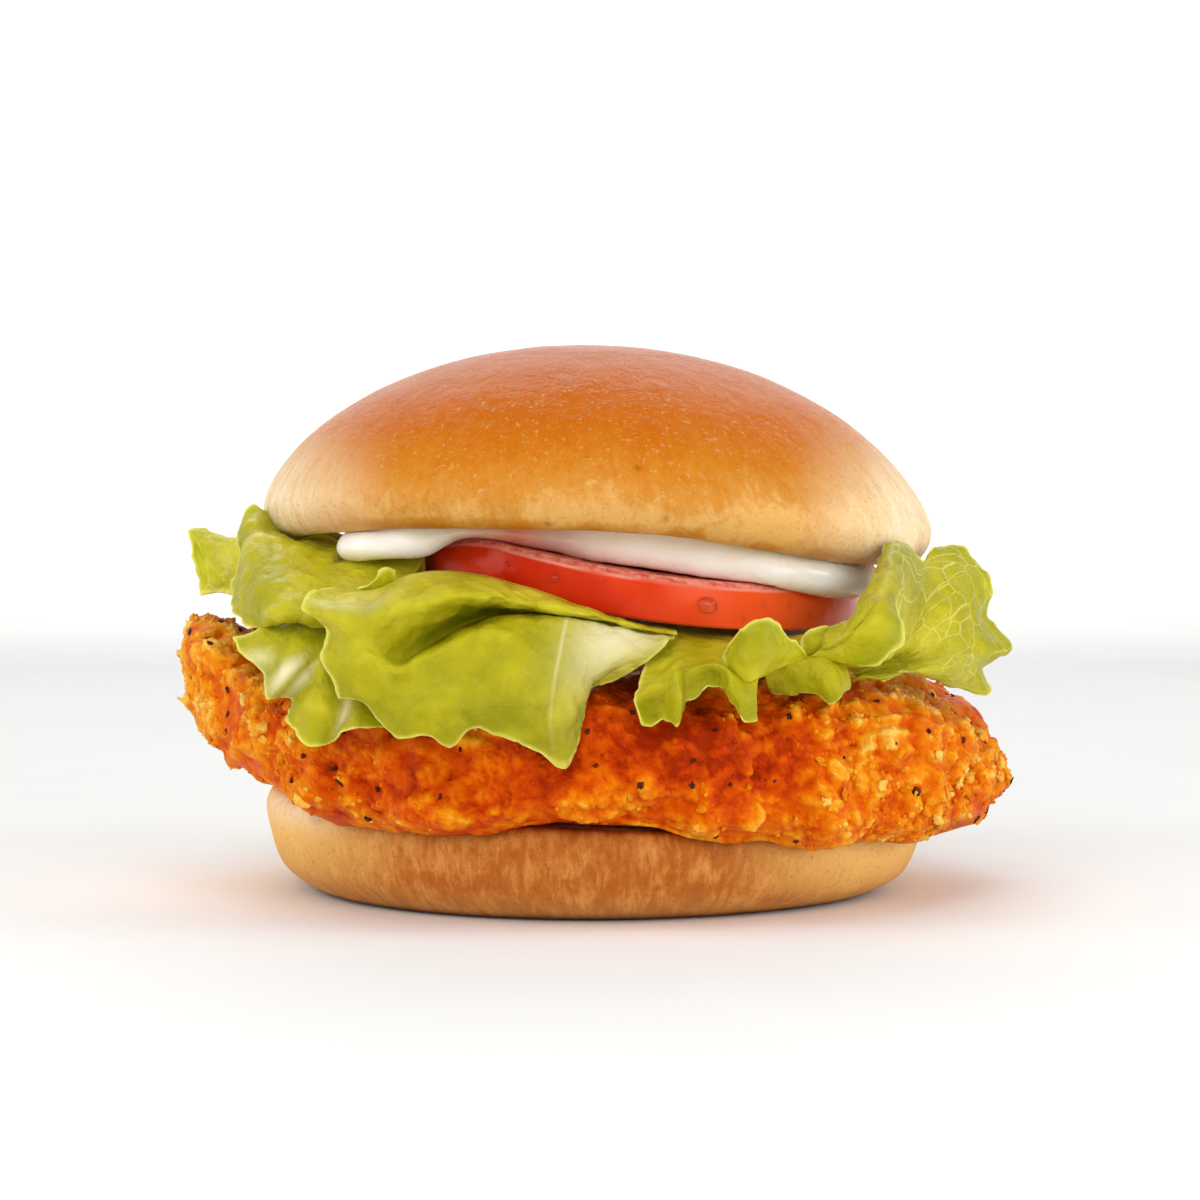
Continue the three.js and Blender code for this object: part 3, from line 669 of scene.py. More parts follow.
def even_rings(start, stop, power, count):
    """Rings evenly spaced along the fillet's oval section, between two turns in degrees away from its top."""
    turn = np.radians(np.linspace(start, stop, 4000))
    reach = np.sin(turn) ** (2 / power)
    height = np.sign(np.cos(turn)) * np.abs(np.cos(turn)) ** (2 / power)
    wide, high = 60, 13
    length = np.concatenate([[0], np.cumsum(np.hypot(wide * np.diff(reach), high * np.diff(height)))])
    spot = np.linspace(0, length[-1], count)
    return [(r, h, np.nan) for r, h in zip(np.interp(spot, length, reach), np.interp(spot, length, height))]


def fillet_grid():
    """The fillet's smooth form with its large crags, as rings from the top down."""
    clear = HEEL_RADIUS + HEEL_CLEARANCE
    rows = even_rings(2, 32, FILLET_UPPER, FILLET_COARSE)
    rows += even_rings(34, 89.9999, FILLET_UPPER, FILLET_SIDE)
    rows += even_rings(90.0001, 128, FILLET_LOWER, FILLET_UNDER + 1)[1:]
    rows += [(1, -0.92, lip) for lip in (0.8, 0.35, -0.1)]
    rows += [(share, -1, np.nan) for share in np.linspace(0.8, 0.05, 8)]
    reach, height, lip = columns(rows)
    angle = circle(880)
    outline = fillet_reach(angle)
    is_lip = ~np.isnan(lip)
    r = np.where(is_lip, np.minimum(clear + np.nan_to_num(lip), 0.96 * outline), outline * reach)
    x, y = polar(angle, r)
    z = fillet_middle(x) + fillet_half(x) * height
    p = stacked(x, y, z)
    crag = CRAG_HEIGHT * noise(p / CRAG_SIZE) + 0.6 * CRAG_HEIGHT * noise(2 * p / CRAG_SIZE)
    out = np.where(is_lip, 0, crag * reach**4)
    out = np.where((height < 0) & (r > clear), np.maximum(out, clear + HEEL_CLEARANCE - r), out)
    x, y = polar(angle, r + out)
    return stacked(x, y, z + 0.8 * height * crag)


def lumps(p):
    """Rounded lumps with creases between, one to a unit of length: the height, and each lump's number."""
    warped = p + 0.35 * np.stack([noise(1.3 * p + shift) for shift in (0, 11.1, 23.7)], -1)
    name, offset = cells(warped)
    own = corner(name[..., 0], name[..., 2], name[..., 1] + 13)
    return (1 - 1.6 * (offset**2).sum(-1)) * (1 + 0.5 * own) - 0.5, own


def fillet():
    """The fried fillet. Returns its points, their outward directions and tones, and where crumbs gather."""
    grid = fillet_grid()
    x, y, z = (grid[..., axis].copy() for axis in range(3))
    clear = HEEL_RADIUS + HEEL_CLEARANCE
    grid[..., 2] += 2.8 * hill(x, -50, 7) * smoothstep(fillet_middle(x) - z, 0, 7) * in_front(y)
    normal = ring_normals(grid)
    large, large_own = lumps(grid / 5.4)
    middle, middle_own = lumps(grid / 2.6 + 40)
    small, small_own = lumps(grid / 1.25 + 80)
    fold = fractal(grid / np.array([6, 6, 2.3]) + 90, 3, 0.55, ridged=True)
    flaky = smoothstep(fractal(grid / 17 + 5, 2) + 0.012 * x, -0.1, 0.25)
    glaze = in_front(y) * (hill(x, 12, 20) * hill(z, 28, 7) + 0.5 * hill(x, -32, 13) * hill(z, 21, 4.5))
    smooth = smoothstep(fractal(grid / 10 + 60, 2) + 0.6 * glaze, -0.05, 0.35)
    relief = 0.8 * large + (0.75 - 0.45 * smooth) * middle + (0.42 - 0.34 * smooth) * small
    arc = np.hypot(x - 43, 1.5 * (z - 17)) / 3.2 + 0.5 * noise(grid / 5)
    ridges = (0.5 + 0.5 * np.sin(2 * np.pi * arc)) ** 2
    ridges = ridges * hill(x, 42, 11) * smoothstep(z, 19, 24) * in_front(y)
    relief = relief + 0.9 * ridges + flaky * (1 - 0.5 * smooth) * (0.5 + 0.6 * hill(x, 45, 18)) * fold
    row = np.arange(len(grid))[:, None]
    widest = FILLET_COARSE + FILLET_SIDE
    shown = smoothstep(row, 0, 3) * (0.4 + 0.6 * smoothstep(row, 10, 18))
    shown = shown * smoothstep(len(grid) - 1 - row, 8, 12)
    shown = shown * (1 - 0.6 * smoothstep(row, widest + 14, widest + 26))
    moved = grid + normal * (relief * shown)[..., None]
    inside = np.hypot(moved[..., 0], moved[..., 1]) < clear + 0.2
    floor = heel_top(moved[..., 0]) + GAP
    lower = (row > widest) & inside
    moved[..., 2] = np.where(lower, np.maximum(moved[..., 2], floor), moved[..., 2])
    # The tone rises with the lumps: the coating's own colour, with painted shade deepening the hollows and
    # painted highlight on the crags. It is also raised towards both ends, at the lower left and at the upper
    # right.
    tone = 0.46 + 0.1 * large + (0.24 - 0.1 * smooth) * middle + (0.16 - 0.1 * smooth) * small
    tone = tone + 0.07 * large_own + 0.08 * middle_own + 0.04 * small_own + flaky * 0.1 * fold - 0.17 * smooth
    tone = tone + 0.05 * smoothstep(np.abs(x), 34, 58) + 0.06 * (1 - smoothstep(z, 12, 18)) - 0.24 * glaze
    tone = tone + 0.1 * hill(x, -44, 13) * (1 - smoothstep(z, 16, 24)) * in_front(y)
    tone = tone + 0.2 * ridges + 0.18 * smoothstep(-x, 44, 58)
    tone = tone + 0.1 * smoothstep(x, 26, 50) * smoothstep(z, 22, 32)
    top = [0, 0, float(fillet_middle(0) + fillet_half(0))]
    add_round("fried_fillet", "fillet", "fried_coating", coating_material("fried_coating", 0.0), moved,
              top, [0, 0, heel_top(0) + GAP], relief=(tone, 0.4, 0.4))
    open_side = (row > FILLET_COARSE) & (row < widest + FILLET_UNDER - 2)
    open_side = open_side & ~((moved[..., 2] < floor + 1.5) & inside)
    gathered = 0.15 + smoothstep(fractal(grid / 7 + 33, 2) + 0.01 * np.abs(x), 0, 0.4)
    return moved, ring_normals(moved), tone, open_side * gathered * (1 - 0.8 * smooth)


def lump(rng, size, flatness, rough, detail=(7, 9)):
    """A small irregular lump: its points and faces, about size wide, and thinner by flatness."""
    rings, around = detail
    turn = np.linspace(0, np.pi, rings + 2)[1:-1, None]
    angle = np.linspace(0, 2 * np.pi, around, endpoint=False)[None, :]
    ball = stacked(np.sin(turn) * np.cos(angle), np.sin(turn) * np.sin(angle), np.cos(turn))
    shift = rng.uniform(0, 500, 3)
    reach = 1 + rough * noise(1.6 * ball + shift) + 0.5 * rough * noise(3.7 * ball + shift)
    ball = ball * reach[..., None] * np.array([1, rng.uniform(0.6, 1), flatness]) * size / 2
    ball[..., 2] += rng.uniform(-0.35, 0.35) * (ball[..., 0] ** 2 + ball[..., 1] ** 2) / size
    half = flatness * size / 2
    return with_ends(ball, [0, 0, half], [0, 0, -half]), ring_faces(rings, around)


def frame_to(normal, spin, tilt):
    """Three directions whose last is the normal, tipped by tilt and turned by spin."""
    side = np.cross(normal, [0.0, 0.0, 1.0])
    side = side / max(np.linalg.norm(side), 1e-6)
    up = np.cross(side, normal)
    axis = math.cos(spin) * side + math.sin(spin) * up
    other = np.cross(normal, axis)
    tipped = math.cos(tilt) * normal + math.sin(tilt) * axis
    return np.stack([np.cross(other, tipped), other, tipped])


def joined(bodies):
    """Bodies of (points, faces) as the points and faces of one mesh."""
    points, faces, count = [], [], 0
    for body, shape in bodies:
        points.append(body)
        faces += [tuple(count + i for i in face) for face in shape]
        count += len(body)
    return np.concatenate(points), faces


def scatter(name, slot, material, places, seed, sizes, flatness, rough, tilt, sink, detail, lighter=(0, 0)):
    """Lumps of one kind joined into a single piece. places are (point, normal, tone)."""
    rng = np.random.default_rng(seed)
    bodies, relief = [], []
    for point, normal, tone in places:
        size = rng.uniform(*sizes) * rng.uniform(0.6, 1)
        body, shape = lump(rng, size, rng.uniform(*flatness), rough, detail)
        turned = body @ frame_to(normal, rng.uniform(0, 2 * math.pi), rng.uniform(0, tilt))
        bodies.append((turned + point + normal * size * sink, shape))
        relief.append(np.full(len(body), tone + rng.uniform(*lighter)))
    return add_mesh(name, *joined(bodies), None, slot, material, {"relief": np.concatenate(relief)})


def pick(surface, weight, count, seed):
    """Random places on the fillet, more of them where the weight is higher."""
    grid, normal, tone = surface
    chance = (weight + 0 * tone).ravel()
    picked = np.random.default_rng(seed).choice(chance.size, count, p=chance / chance.sum(), replace=False)
    return list(zip(grid.reshape(-1, 3)[picked], normal.reshape(-1, 3)[picked], tone.ravel()[picked]))


def as_pixels(points):
    """Where the camera shows points, in the photograph's pixels across and down."""
    x, y, z = points[..., 0], points[..., 1], points[..., 2]
    size = pixel_size(y, z)
    return PHOTO_MIDDLE + (x - AIM_X) / size, PHOTO_MIDDLE - ((z - AIM_HEIGHT) * LEVEL + y * RISE) / size


# The pepper flecks that the photograph shows, in its pixels across and down.
PEPPER_SHOWN = [
    (630, 712), (716, 730), (747, 735), (791, 716), (693, 760), (730, 784), (775, 781), (845, 759),
    (876, 701), (929, 731), (641, 785), (595, 767), (586, 732), (693, 786), (962, 741), (984, 743),
    (915, 793), (896, 745), (930, 835), (946, 694), (795, 841), (716, 836), (210, 645), (228, 689),
    (228, 715), (227, 731), (341, 782), (379, 788), (368, 819), (304, 755), (332, 767), (460, 750),
    (440, 797), (343, 733), (292, 781),
]


def coating():
    """The fillet with its flakes, crumbs and pepper. Returns the fillet's points."""
    grid, normal, tone, crumbly = fillet()
    surface = (grid, normal, tone)
    x, z = grid[..., 0], grid[..., 2]
    flaky = crumbly * (0.2 + hill(x, 47, 14) * hill(z, 18, 7) + 0.5 * hill(x, -45, 10))
    scatter("coating_flakes", "fried_coating", coating_material("coating_flake", 0.04),
            pick(surface, flaky, 420, 11), 12, (1.3, 3.0), (0.35, 0.6), 0.75, 0.6, -0.1, (7, 9), (0.04, 0.3))
    scatter("coating_crumbs", "fried_coating", coating_material("coating_crumb", 0.04),
            pick(surface, crumbly, 3000, 13), 14, (0.5, 1.25), (0.6, 1.0), 0.5, 0.8, -0.08, (4, 6),
            (-0.05, 0.2))
    across, down = as_pixels(grid)
    hidden = 1e4 * ((normal[..., 1] > 0.1) | (grid[..., 1] > 0))
    shown = [np.unravel_index(np.argmin(np.hypot(across - px, down - py) + hidden), across.shape)
             for px, py in PEPPER_SHOWN]
    flecks = [(grid[i], normal[i], 0.5) for i in shown]
    flecks += pick(surface, (grid[..., 1] > -20) * (crumbly > 0), 110, 15)
    scatter("pepper_flecks", None, pepper_material(), flecks, 16, (0.9, 1.7), (0.25, 0.4), 0.6, 0.3, 0.06,
            (5, 8))
    return grid


# The tomato slice and the water on it.
def tomato():
    rim = [(0.957, 0.01), (0.968, 0.03), (0.979, 0.06), (0.989, 0.09), (0.9955, 0.115), (0.999, 0.145)]
    rim += [(1 + 0.004 * math.sin(math.pi * t), 0.15 + 0.8 * t) for t in np.linspace(0.03, 1, 22)]
    rim += [(0.997, 0.972), (0.99, 0.99), (0.975, 1)]
    rows = [(r, 0) for r in np.linspace(0.04, 0.95, 30)] + rim + [(r, 1) for r in np.linspace(0.93, 0.05, 12)]
    reach, depth = columns(rows)
    angle = circle(300)
    wobble = 1 + 0.006 * noise(stacked(*polar(angle, 2.2), 3))
    x, y = polar(angle, TOMATO_RADIUS * reach * wobble)
    x, y = x + TOMATO_X, y + TOMATO_Y
    grid = stacked(x, y, tomato_top(x, y) - TOMATO_THICKNESS * depth)
    on_top = (depth == 0) & (reach < 0.95)
    grid[..., 2] += np.where(on_top, 0.18 * fractal(grid / 3.5, 3) * smoothstep(0.95 - reach, 0, 0.05), 0)
    cut = ((depth < 0.1) | (depth > 0.995)) * 1.0
    # Painted highlight: a pale line just below the cut top of the skin.
    edge = hill(depth, 0.125, 0.025) * (0.55 + 0.45 * noise(grid / 4))
    # Painted light: the skin is made lighter towards the right end.
    warm = smoothstep(x, 0, 34) * (depth > 0.1)
    top = [TOMATO_X, TOMATO_Y, float(tomato_top(TOMATO_X, TOMATO_Y))]
    bottom = [TOMATO_X, TOMATO_Y, top[2] - TOMATO_THICKNESS]
    add_round("tomato_slice", "tomato", "tomato", tomato_material(), grid, top, bottom,
              cut=(cut, 1, 1), edge=(edge, 0, 0), warm=(warm, 0, 0))


# Drops on the slice's skin: angle, share of the way down, width.
DROPS = [
    (287, 0.5, 3.2), (249, 0.45, 2.0), (302.5, 0.45, 1.1), (310.7, 0.42, 1.0), (236.2, 0.4, 1.0),
    (275, 0.7, 0.8), (297, 0.75, 0.7), (262, 0.3, 0.7), (318, 0.6, 0.8), (242, 0.65, 0.7),
]


def water_drops():
    rng = np.random.default_rng(31)
    bodies = []
    for angle, depth, size in DROPS:
        outward = np.array([*polar(angle, 1), 0.0])
        x, y = TOMATO_X + TOMATO_RADIUS * outward[0], TOMATO_Y + TOMATO_RADIUS * outward[1]
        spot = np.array([x, y, float(tomato_top(x, y)) - TOMATO_THICKNESS * depth])
        body, shape = lump(rng, size, 0.62, 0.05, (12, 18))
        turned = body @ frame_to(outward, rng.uniform(0, 6.28), 0)
        bodies.append((turned + spot + outward * 0.08 * size, shape))
    add_mesh("water_drops", *joined(bodies), material=water_material())


# The mayonnaise.
def mayonnaise():
    edge = [(0.93 + 0.07 * math.sin(t), 0.5 + 0.5 * math.cos(t)) for t in np.linspace(0, math.pi, 21)]
    rows = [(r, 1) for r in np.linspace(0.05, 0.91, 24)] + edge
    rows += [(r, 0) for r in np.linspace(0.91, 0.05, 24)]
    share, height = columns(rows)
    angle = circle(360)
    outline = mayonnaise_reach(angle) + 1.2 * hill(angle, 207, 10)
    outline = outline - 3.4 * hill(angle, 286, 17) - 4 * hill(angle, 250, 13)
    x, y = polar(angle, outline * share)
    x, y = x + MAYONNAISE_X, y + MAYONNAISE_Y
    high = crown_underside(x, y) - 0.1
    inner = np.hypot(x - TOMATO_X, y - TOMATO_Y) < TOMATO_RADIUS + 0.4
    hang = smoothstep(-x, 20, 27) + smoothstep(x, 16, 40)
    flat = np.minimum(tomato_top(x, y) + 0.1, high - 2.2)
    low = high - 4.8 - 1.3 * smoothstep(x, -10, 12)
    low = np.where(inner, np.maximum(low, tomato_top(x, y) + 0.1), low * hang + flat * (1 - hang))
    low = np.minimum(low, high - 0.4)
    grid = stacked(x, y, low + height * (high - low))
    swell = 0.55 * fractal(grid / 7, 3) * smoothstep(share, 0.88, 0.97)
    grid = grid + ring_normals(grid) * swell[..., None]
    film = hill(x, -12, 8) * (1 - hang) * (y < -14) * (0.8 + 0.2 * noise(grid / 3))
    cx, cy = MAYONNAISE_X, MAYONNAISE_Y
    top = [cx, cy, float(mayonnaise_top(cx, cy))]
    bottom = [cx, cy, float(mayonnaise_bottom(cx, cy))]
    add_round("mayonnaise_layer", "mayonnaise", "mayonnaise", mayonnaise_material(), grid, top, bottom,
              film=(film, 0, 0))


# The lettuce.
def curve_point(p0, p1, p2, p3, w):
    """A point at share w of the way from p1 to p2, on the even smooth curve through four points."""
    d0, d1, d2 = (np.sqrt(np.maximum(np.linalg.norm(b - a, axis=-1, keepdims=True), 1e-6))
                  for a, b in ((p0, p1), (p1, p2), (p2, p3)))
    t1 = ((p1 - p0) / d0 - (p2 - p0) / (d0 + d1) + (p2 - p1) / d1) * d1
    t2 = ((p2 - p1) / d1 - (p3 - p1) / (d1 + d2) + (p3 - p2) / d2) * d1
    return p1 + t1 * w + (3 * (p2 - p1) - 2 * t1 - t2) * w**2 + (2 * (p1 - p2) + t1 + t2) * w**3


def on_curve(points, t):
    """Points at shares t of the smooth curve through the points. The points may be whole lines of points."""
    points = np.asarray(points, float)
    points = np.concatenate([[2 * points[0] - points[1]], points, [2 * points[-1] - points[-2]]])
    spot = np.clip(t, 0, 1) * (len(points) - 3)
    i = np.minimum(spot.astype(int), len(points) - 4)
    share = (spot - i).reshape((-1,) + (1,) * (points.ndim - 1))
    return curve_point(points[i], points[i + 1], points[i + 2], points[i + 3], share)


FRONT_HALF, FRONT_HEIGHT = 80, 70


def front_of(grid):
    """How far forward the fillet comes, in a table of whole millimetres of x and height."""
    table = np.full((2 * FRONT_HALF, FRONT_HEIGHT), 20.0)
    i, j = np.round(grid[..., 0]).astype(int) + FRONT_HALF, np.round(grid[..., 2]).astype(int)
    np.minimum.at(table, (i, j), grid[..., 1])
    for axis in (0, 1):
        table = np.minimum(table, np.minimum(np.roll(table, 1, axis), np.roll(table, -1, axis)))
    for axis in (0, 1):
        table = (np.roll(table, 1, axis) + table + np.roll(table, -1, axis)) / 3
    return table


def before_fillet(p):
    """Brings a hanging leaf's points forward until they are in front of the fillet."""
    x, y, z = p[..., 0], p[..., 1], p[..., 2]
    column = np.clip(x + FRONT_HALF, 0, 2 * FRONT_HALF - 1.1)
    row = np.clip(z, 0, FRONT_HEIGHT - 1.1)
    i, j = column.astype(int), row.astype(int)
    u, v = column - i, row - j
    front = ((FILLET_FRONT[i, j] * (1 - u) + FILLET_FRONT[i + 1, j] * u) * (1 - v)
             + (FILLET_FRONT[i, j + 1] * (1 - u) + FILLET_FRONT[i + 1, j + 1] * u) * v)
    below = smoothstep(along(FILLET_TOP, x) - z, 0, 3)
    return stacked(x, y + np.minimum(front - 0.7 - y, 0) * below, z)


def between_layers(p, hanging):
    """Keeps a leaf's points above the fillet, and below the tomato, the mayonnaise and the crown."""
    if hanging:
        p = before_fillet(p)
    x, y, z = p[..., 0], p[..., 1], p[..., 2]
    floor = fillet_top(x, y) + CRAG_HEIGHT + LEAF_MARGIN
    if hanging:
        share = np.hypot(x, y) / fillet_reach(np.degrees(np.arctan2(y, x)))
        floor = floor - 40 * smoothstep(share, 0.86, 0.97)
    ceiling = np.where(np.hypot(x - CROWN_CENTRE, y) < 0.97 * CROWN_RADIUS,
                       crown_underside(x, y) - LEAF_MARGIN, 1e9)
    dx, dy = x - MAYONNAISE_X, y - MAYONNAISE_Y
    share = np.hypot(dx, dy) / mayonnaise_reach(np.degrees(np.arctan2(dy, dx)))
    ceiling = np.where(share < 1.04, mayonnaise_bottom(x, y) - LEAF_MARGIN, ceiling)
    away = np.hypot(x - TOMATO_X, y - TOMATO_Y)
    inwards = np.minimum(TOMATO_RADIUS / np.maximum(away, 1e-6), 1)
    nearest = tomato_top(TOMATO_X + (x - TOMATO_X) * inwards, TOMATO_Y + (y - TOMATO_Y) * inwards)
    ceiling = np.where(away < TOMATO_RADIUS + 2, nearest - TOMATO_THICKNESS - LEAF_MARGIN, ceiling)
    return stacked(x, y, np.minimum(np.maximum(z, floor), ceiling))


def around_axis(lines):
    """Lines of [angle, reach, height] as points."""
    return [stacked(*polar(line[:, 0], line[:, 1]), line[:, 2]) for line in map(np.array, lines)]


def as_shown(lines):
    """Lines of [pixel across, pixel down, y], read off the photograph, as points."""
    points = []
    for line in lines:
        across, down, y = np.array(line, float).T
        z = AIM_HEIGHT
        for _ in range(3):
            size = pixel_size(y, z)
            z = AIM_HEIGHT + ((PHOTO_MIDDLE - down) * size - y * RISE) / LEVEL
        points.append(stacked(AIM_X + (across - PHOTO_MIDDLE) * size, y, z))
    return points


def leaf_sheet(lines, size, seed, margins, frill=0.5, crinkle=0.45, pale=(), veined=0.05, hanging=True,
               young_and_painted_light=0.0):
    """A sheet spread through lines of points, from its root to its edge.

    margins names its free sides: "edge", "first" and "last". pale lists its pale places: share along, share
    outward, their two widths, strength. A lightened sheet is lighter and yellower: partly a young leaf,
    partly painted light where the sheet lies in shade.
    """
    across, out = size
    u, v = np.linspace(0, 1, across + 1), np.linspace(0, 1, out + 1)
    grid = on_curve(np.stack([on_curve(line, u) for line in lines]), v)
    wide = np.linalg.norm(np.diff(grid[out // 2], axis=0), axis=1).sum()
    high = np.linalg.norm(np.diff(grid[:, across // 2], axis=0), axis=1).sum()
    uu, vv = np.broadcast_arrays(u[None, :], v[:, None])
    sides = {"edge": (1 - vv) * high, "first": uu * wide, "last": (1 - uu) * wide}
    away = np.full(uu.shape, 99.0)
    for side in margins.split():
        away = np.minimum(away, sides[side])
    outward = np.gradient(grid, axis=0)
    normal = np.cross(np.gradient(grid, axis=1), outward)
    outward, normal = (way / np.maximum(np.linalg.norm(way, axis=-1, keepdims=True), 1e-9)
                       for way in (outward, normal))
    path = grid / 3.1 + seed
    ripple = noise(path) + 0.5 * noise(2.3 * path + 9)
    fold = (0.8 * fractal(grid / 8 + seed, 3) + 0.6 * fractal(grid / 5 + seed, 2, ridged=True)
            + 0.3 * fractal(grid / 2 + seed, 2))
    teeth = 0.6 * noise(grid / 2.4 + seed + 40) + 0.3 * noise(grid / 1.1 + seed)
    teeth = teeth * np.exp((vv - 1) * high / 1.6)
    shift = crinkle * fold * smoothstep(vv * high, 2, 9) + frill * ripple * np.exp(-away / 2.2)
    grid = grid + normal * shift[..., None] + outward * teeth[..., None]
    grid = between_layers(grid, hanging)
    rib = np.zeros(uu.shape)
    for middle_u, middle_v, width, length, strength in pale:
        rib = np.maximum(rib, strength * hill(uu, middle_u, width) * hill(vv, middle_v, length))
    starts = [j * (across + 1) + i for j in range(out) for i in range(across)]
    faces = [(a, a + 1, a + across + 2, a + across + 1) for a in starts]
    # fold carries painted shade: the colour darkens with the sheet's folds.
    values = {"outward": vv - young_and_painted_light, "rim": 0.85 * hill(away, 0, 0.55), "rib": rib, "fold": 0.5 + 0.5 * fold,
              "veined": 0 * vv + veined}
    values = {key: numbers.ravel() for key, numbers in values.items()}
    sheet = stacked(wide * uu + 31 * seed, high * vv, seed).reshape(-1, 3)
    return grid.reshape(-1, 3), faces, {"sheet": sheet, **values}


def leaf(name, node, material, sheets):
    """A leaf's sheets, of (points, faces, values), as one thin piece."""
    values = {key: np.concatenate([own[key] for _, _, own in sheets]) for key in sheets[0][2]}
    points, faces = joined([sheet[:2] for sheet in sheets])
    piece = add_mesh(name, points, faces, node, "lettuce", material, values)
    thick = piece.modifiers.new("thickness", "SOLIDIFY")
    thick.thickness = LEAF_THICKNESS * MM
    thick.offset = 0


# Each net holds lines of points from the root of a sheet to its edge.
# The left leaf.
BACK = around_axis([
    [[40, 16, 39], [74, 16, 39], [106, 16, 39.2], [138, 16, 39.5], [165, 16, 39.7], [184, 16, 39.8],
     [196, 16, 40]],
    [[40, 44, 40], [74, 44, 40.8], [106, 45, 44], [138, 47, 53], [165, 48.5, 57], [184, 49, 57.5],
     [196, 48, 57.5]],
    [[40, 55, 43], [74, 55, 43], [106, 55, 45], [138, 57, 48], [160, 58, 50], [184, 62, 48], [194, 56, 47]],
])
LOBES = around_axis([
    [[150, 30, 46], [160, 30, 46.5], [168, 30, 47], [176, 30, 47.5], [184, 30, 48], [192, 30, 48]],
    [[148, 52, 47], [160, 53, 52], [168, 53, 50], [175, 56, 55.5], [182, 58, 52], [190, 56, 49]],
    [[146, 57, 46], [158, 61, 55], [167, 58, 49], [174, 62, 56], [179.5, 65.5, 57.5], [186, 63, 47]],
])
MAIN = as_shown([
    [[430, 553, -22], [427, 556, -25], [424, 560, -28], [420, 566, -31], [416, 572, -33], [413, 578, -35],
     [410, 584, -37], [408, 590, -39], [404, 596, -41]],
    [[345, 542, -20], [338, 548, -26], [334, 556, -31], [332, 566, -35], [334, 576, -38], [337, 586, -41],
     [342, 594, -44], [350, 602, -46], [364, 612, -47]],
    [[292, 532, -14], [274, 533, -20], [268, 548, -30], [264, 565, -37], [262, 582, -42], [268, 600, -46],
     [283, 611, -49], [308, 616, -50], [345, 621, -50]],
    [[285, 520, -8], [252, 508, -13], [236, 532, -18], [238, 560, -25], [229, 592, -30], [238, 616, -37],
     [258, 628, -43], [290, 621, -47], [334, 627, -48]],
])
LOWER = as_shown([
    [[330, 600, -36], [335, 603, -37], [340, 606, -38], [345, 608, -39], [350, 610, -40], [355, 612, -41],
     [360, 614, -42], [366, 616, -43], [376, 618, -44], [392, 620, -44]],
    [[290, 618, -41], [300, 630, -46], [308, 643, -49], [314, 653, -51], [321, 660, -52.5], [328, 667, -53],
     [336, 674, -53], [346, 680, -53], [359, 685, -53], [380, 690, -53]],
    [[262, 627, -42], [274, 643, -46], [286, 657, -50], [294, 671, -53], [307, 682, -52.5],
     [312, 695, -55.5], [325, 706, -57], [343, 710, -55.5], [357, 708, -57], [382, 712, -56]],
    [[234, 638, -41], [242, 652, -44], [262, 672, -47], [266, 701, -51], [291, 700, -50], [285, 718, -54],
     [310, 747, -57], [334, 740, -55], [352, 728, -58], [384, 730, -57]],
])
SPRIG = as_shown([
    [[360, 596, -44], [372, 597, -45], [384, 597, -45], [394, 594, -44]],
    [[362, 593, -46], [374, 588, -48], [386, 584, -48], [396, 584, -46]],
    [[358, 590, -47], [377, 577, -49], [380, 572, -49], [396, 570, -47]],
])
# The centre leaf, from its fold to its frilled edge.
CENTRE = as_shown([
    [[345, 590, -44], [362, 588, -44], [382, 584, -43], [402, 578, -42], [428, 572, -41], [455, 572, -40],
     [480, 575, -39], [505, 580, -38], [530, 587, -38], [560, 596, -38], [590, 606, -38], [625, 617, -38],
     [650, 623, -37], [672, 628, -36]],
    [[310, 592, -53], [333, 600, -55], [365, 599, -55], [394, 586, -54], [419, 578, -53], [444, 575, -52],
     [472, 578, -51], [500, 584, -50], [525, 591, -49.5], [554, 598, -49], [586, 608, -48.5],
     [620, 618, -47.5], [648, 626, -46.5], [677, 632, -45]],
    [[302, 609, -56], [333, 614, -60], [364, 618, -61.5], [394, 612, -62.5], [421, 605, -62.5],
     [448, 598, -62], [476, 597, -60], [502, 599, -58], [527, 604, -56], [556, 609, -54.5], [586, 615, -53],
     [618, 622, -51], [646, 629, -49.5], [677, 634, -48]],
    [[326, 627, -57], [345, 636, -61.5], [370, 648, -61.5], [397, 657, -57.5], [426, 645, -52],
     [453, 630, -48], [481, 618, -46], [504, 614, -46], [529, 614, -47], [556, 617, -48.5], [583, 621, -49],
     [613, 626, -48.5], [642, 632, -48], [675, 636, -47.5]],
    [[323, 643, -58.5], [347, 649, -62], [371, 658, -63], [396, 671, -62.5], [425, 656, -61.5],
     [451, 642, -60], [479, 628, -58], [502, 623, -56.5], [527, 620, -55], [553, 620, -54], [578, 621, -53],
     [607, 625, -51], [638, 634, -49.5], [671, 637, -48.5]],
    [[321, 660, -59.5], [350, 663, -62.5], [373, 671, -63], [396, 684, -62.5], [423, 677, -62],
     [450, 665, -61.5], [476, 658, -61], [500, 652, -60.5], [523, 652, -60], [546, 655, -58.5],
     [570, 655, -57.5], [598, 652, -55], [630, 650, -52.5], [665, 646, -50.5]],
    [[333, 680, -60], [356, 686, -62], [377, 697, -63], [399, 711, -63.5], [425, 706, -64],
     [448, 705, -64.5], [470, 700, -64], [493, 700, -63.5], [516, 702, -63], [538, 706, -62],
     [562, 702, -62.5], [584, 688, -58.5], [610, 669, -54.5], [645, 662, -52]],
    [[337, 699, -59.5], [360, 701, -61], [379, 720, -62], [395, 738, -62.5], [428, 735, -63.5],
     [449, 748, -64], [466, 733, -64], [490, 732, -63.5], [513, 740, -63], [536, 753, -62.5],
     [566, 767, -62.5], [581, 732, -59.5], [572, 700, -56.5], [614, 681, -54]],
])
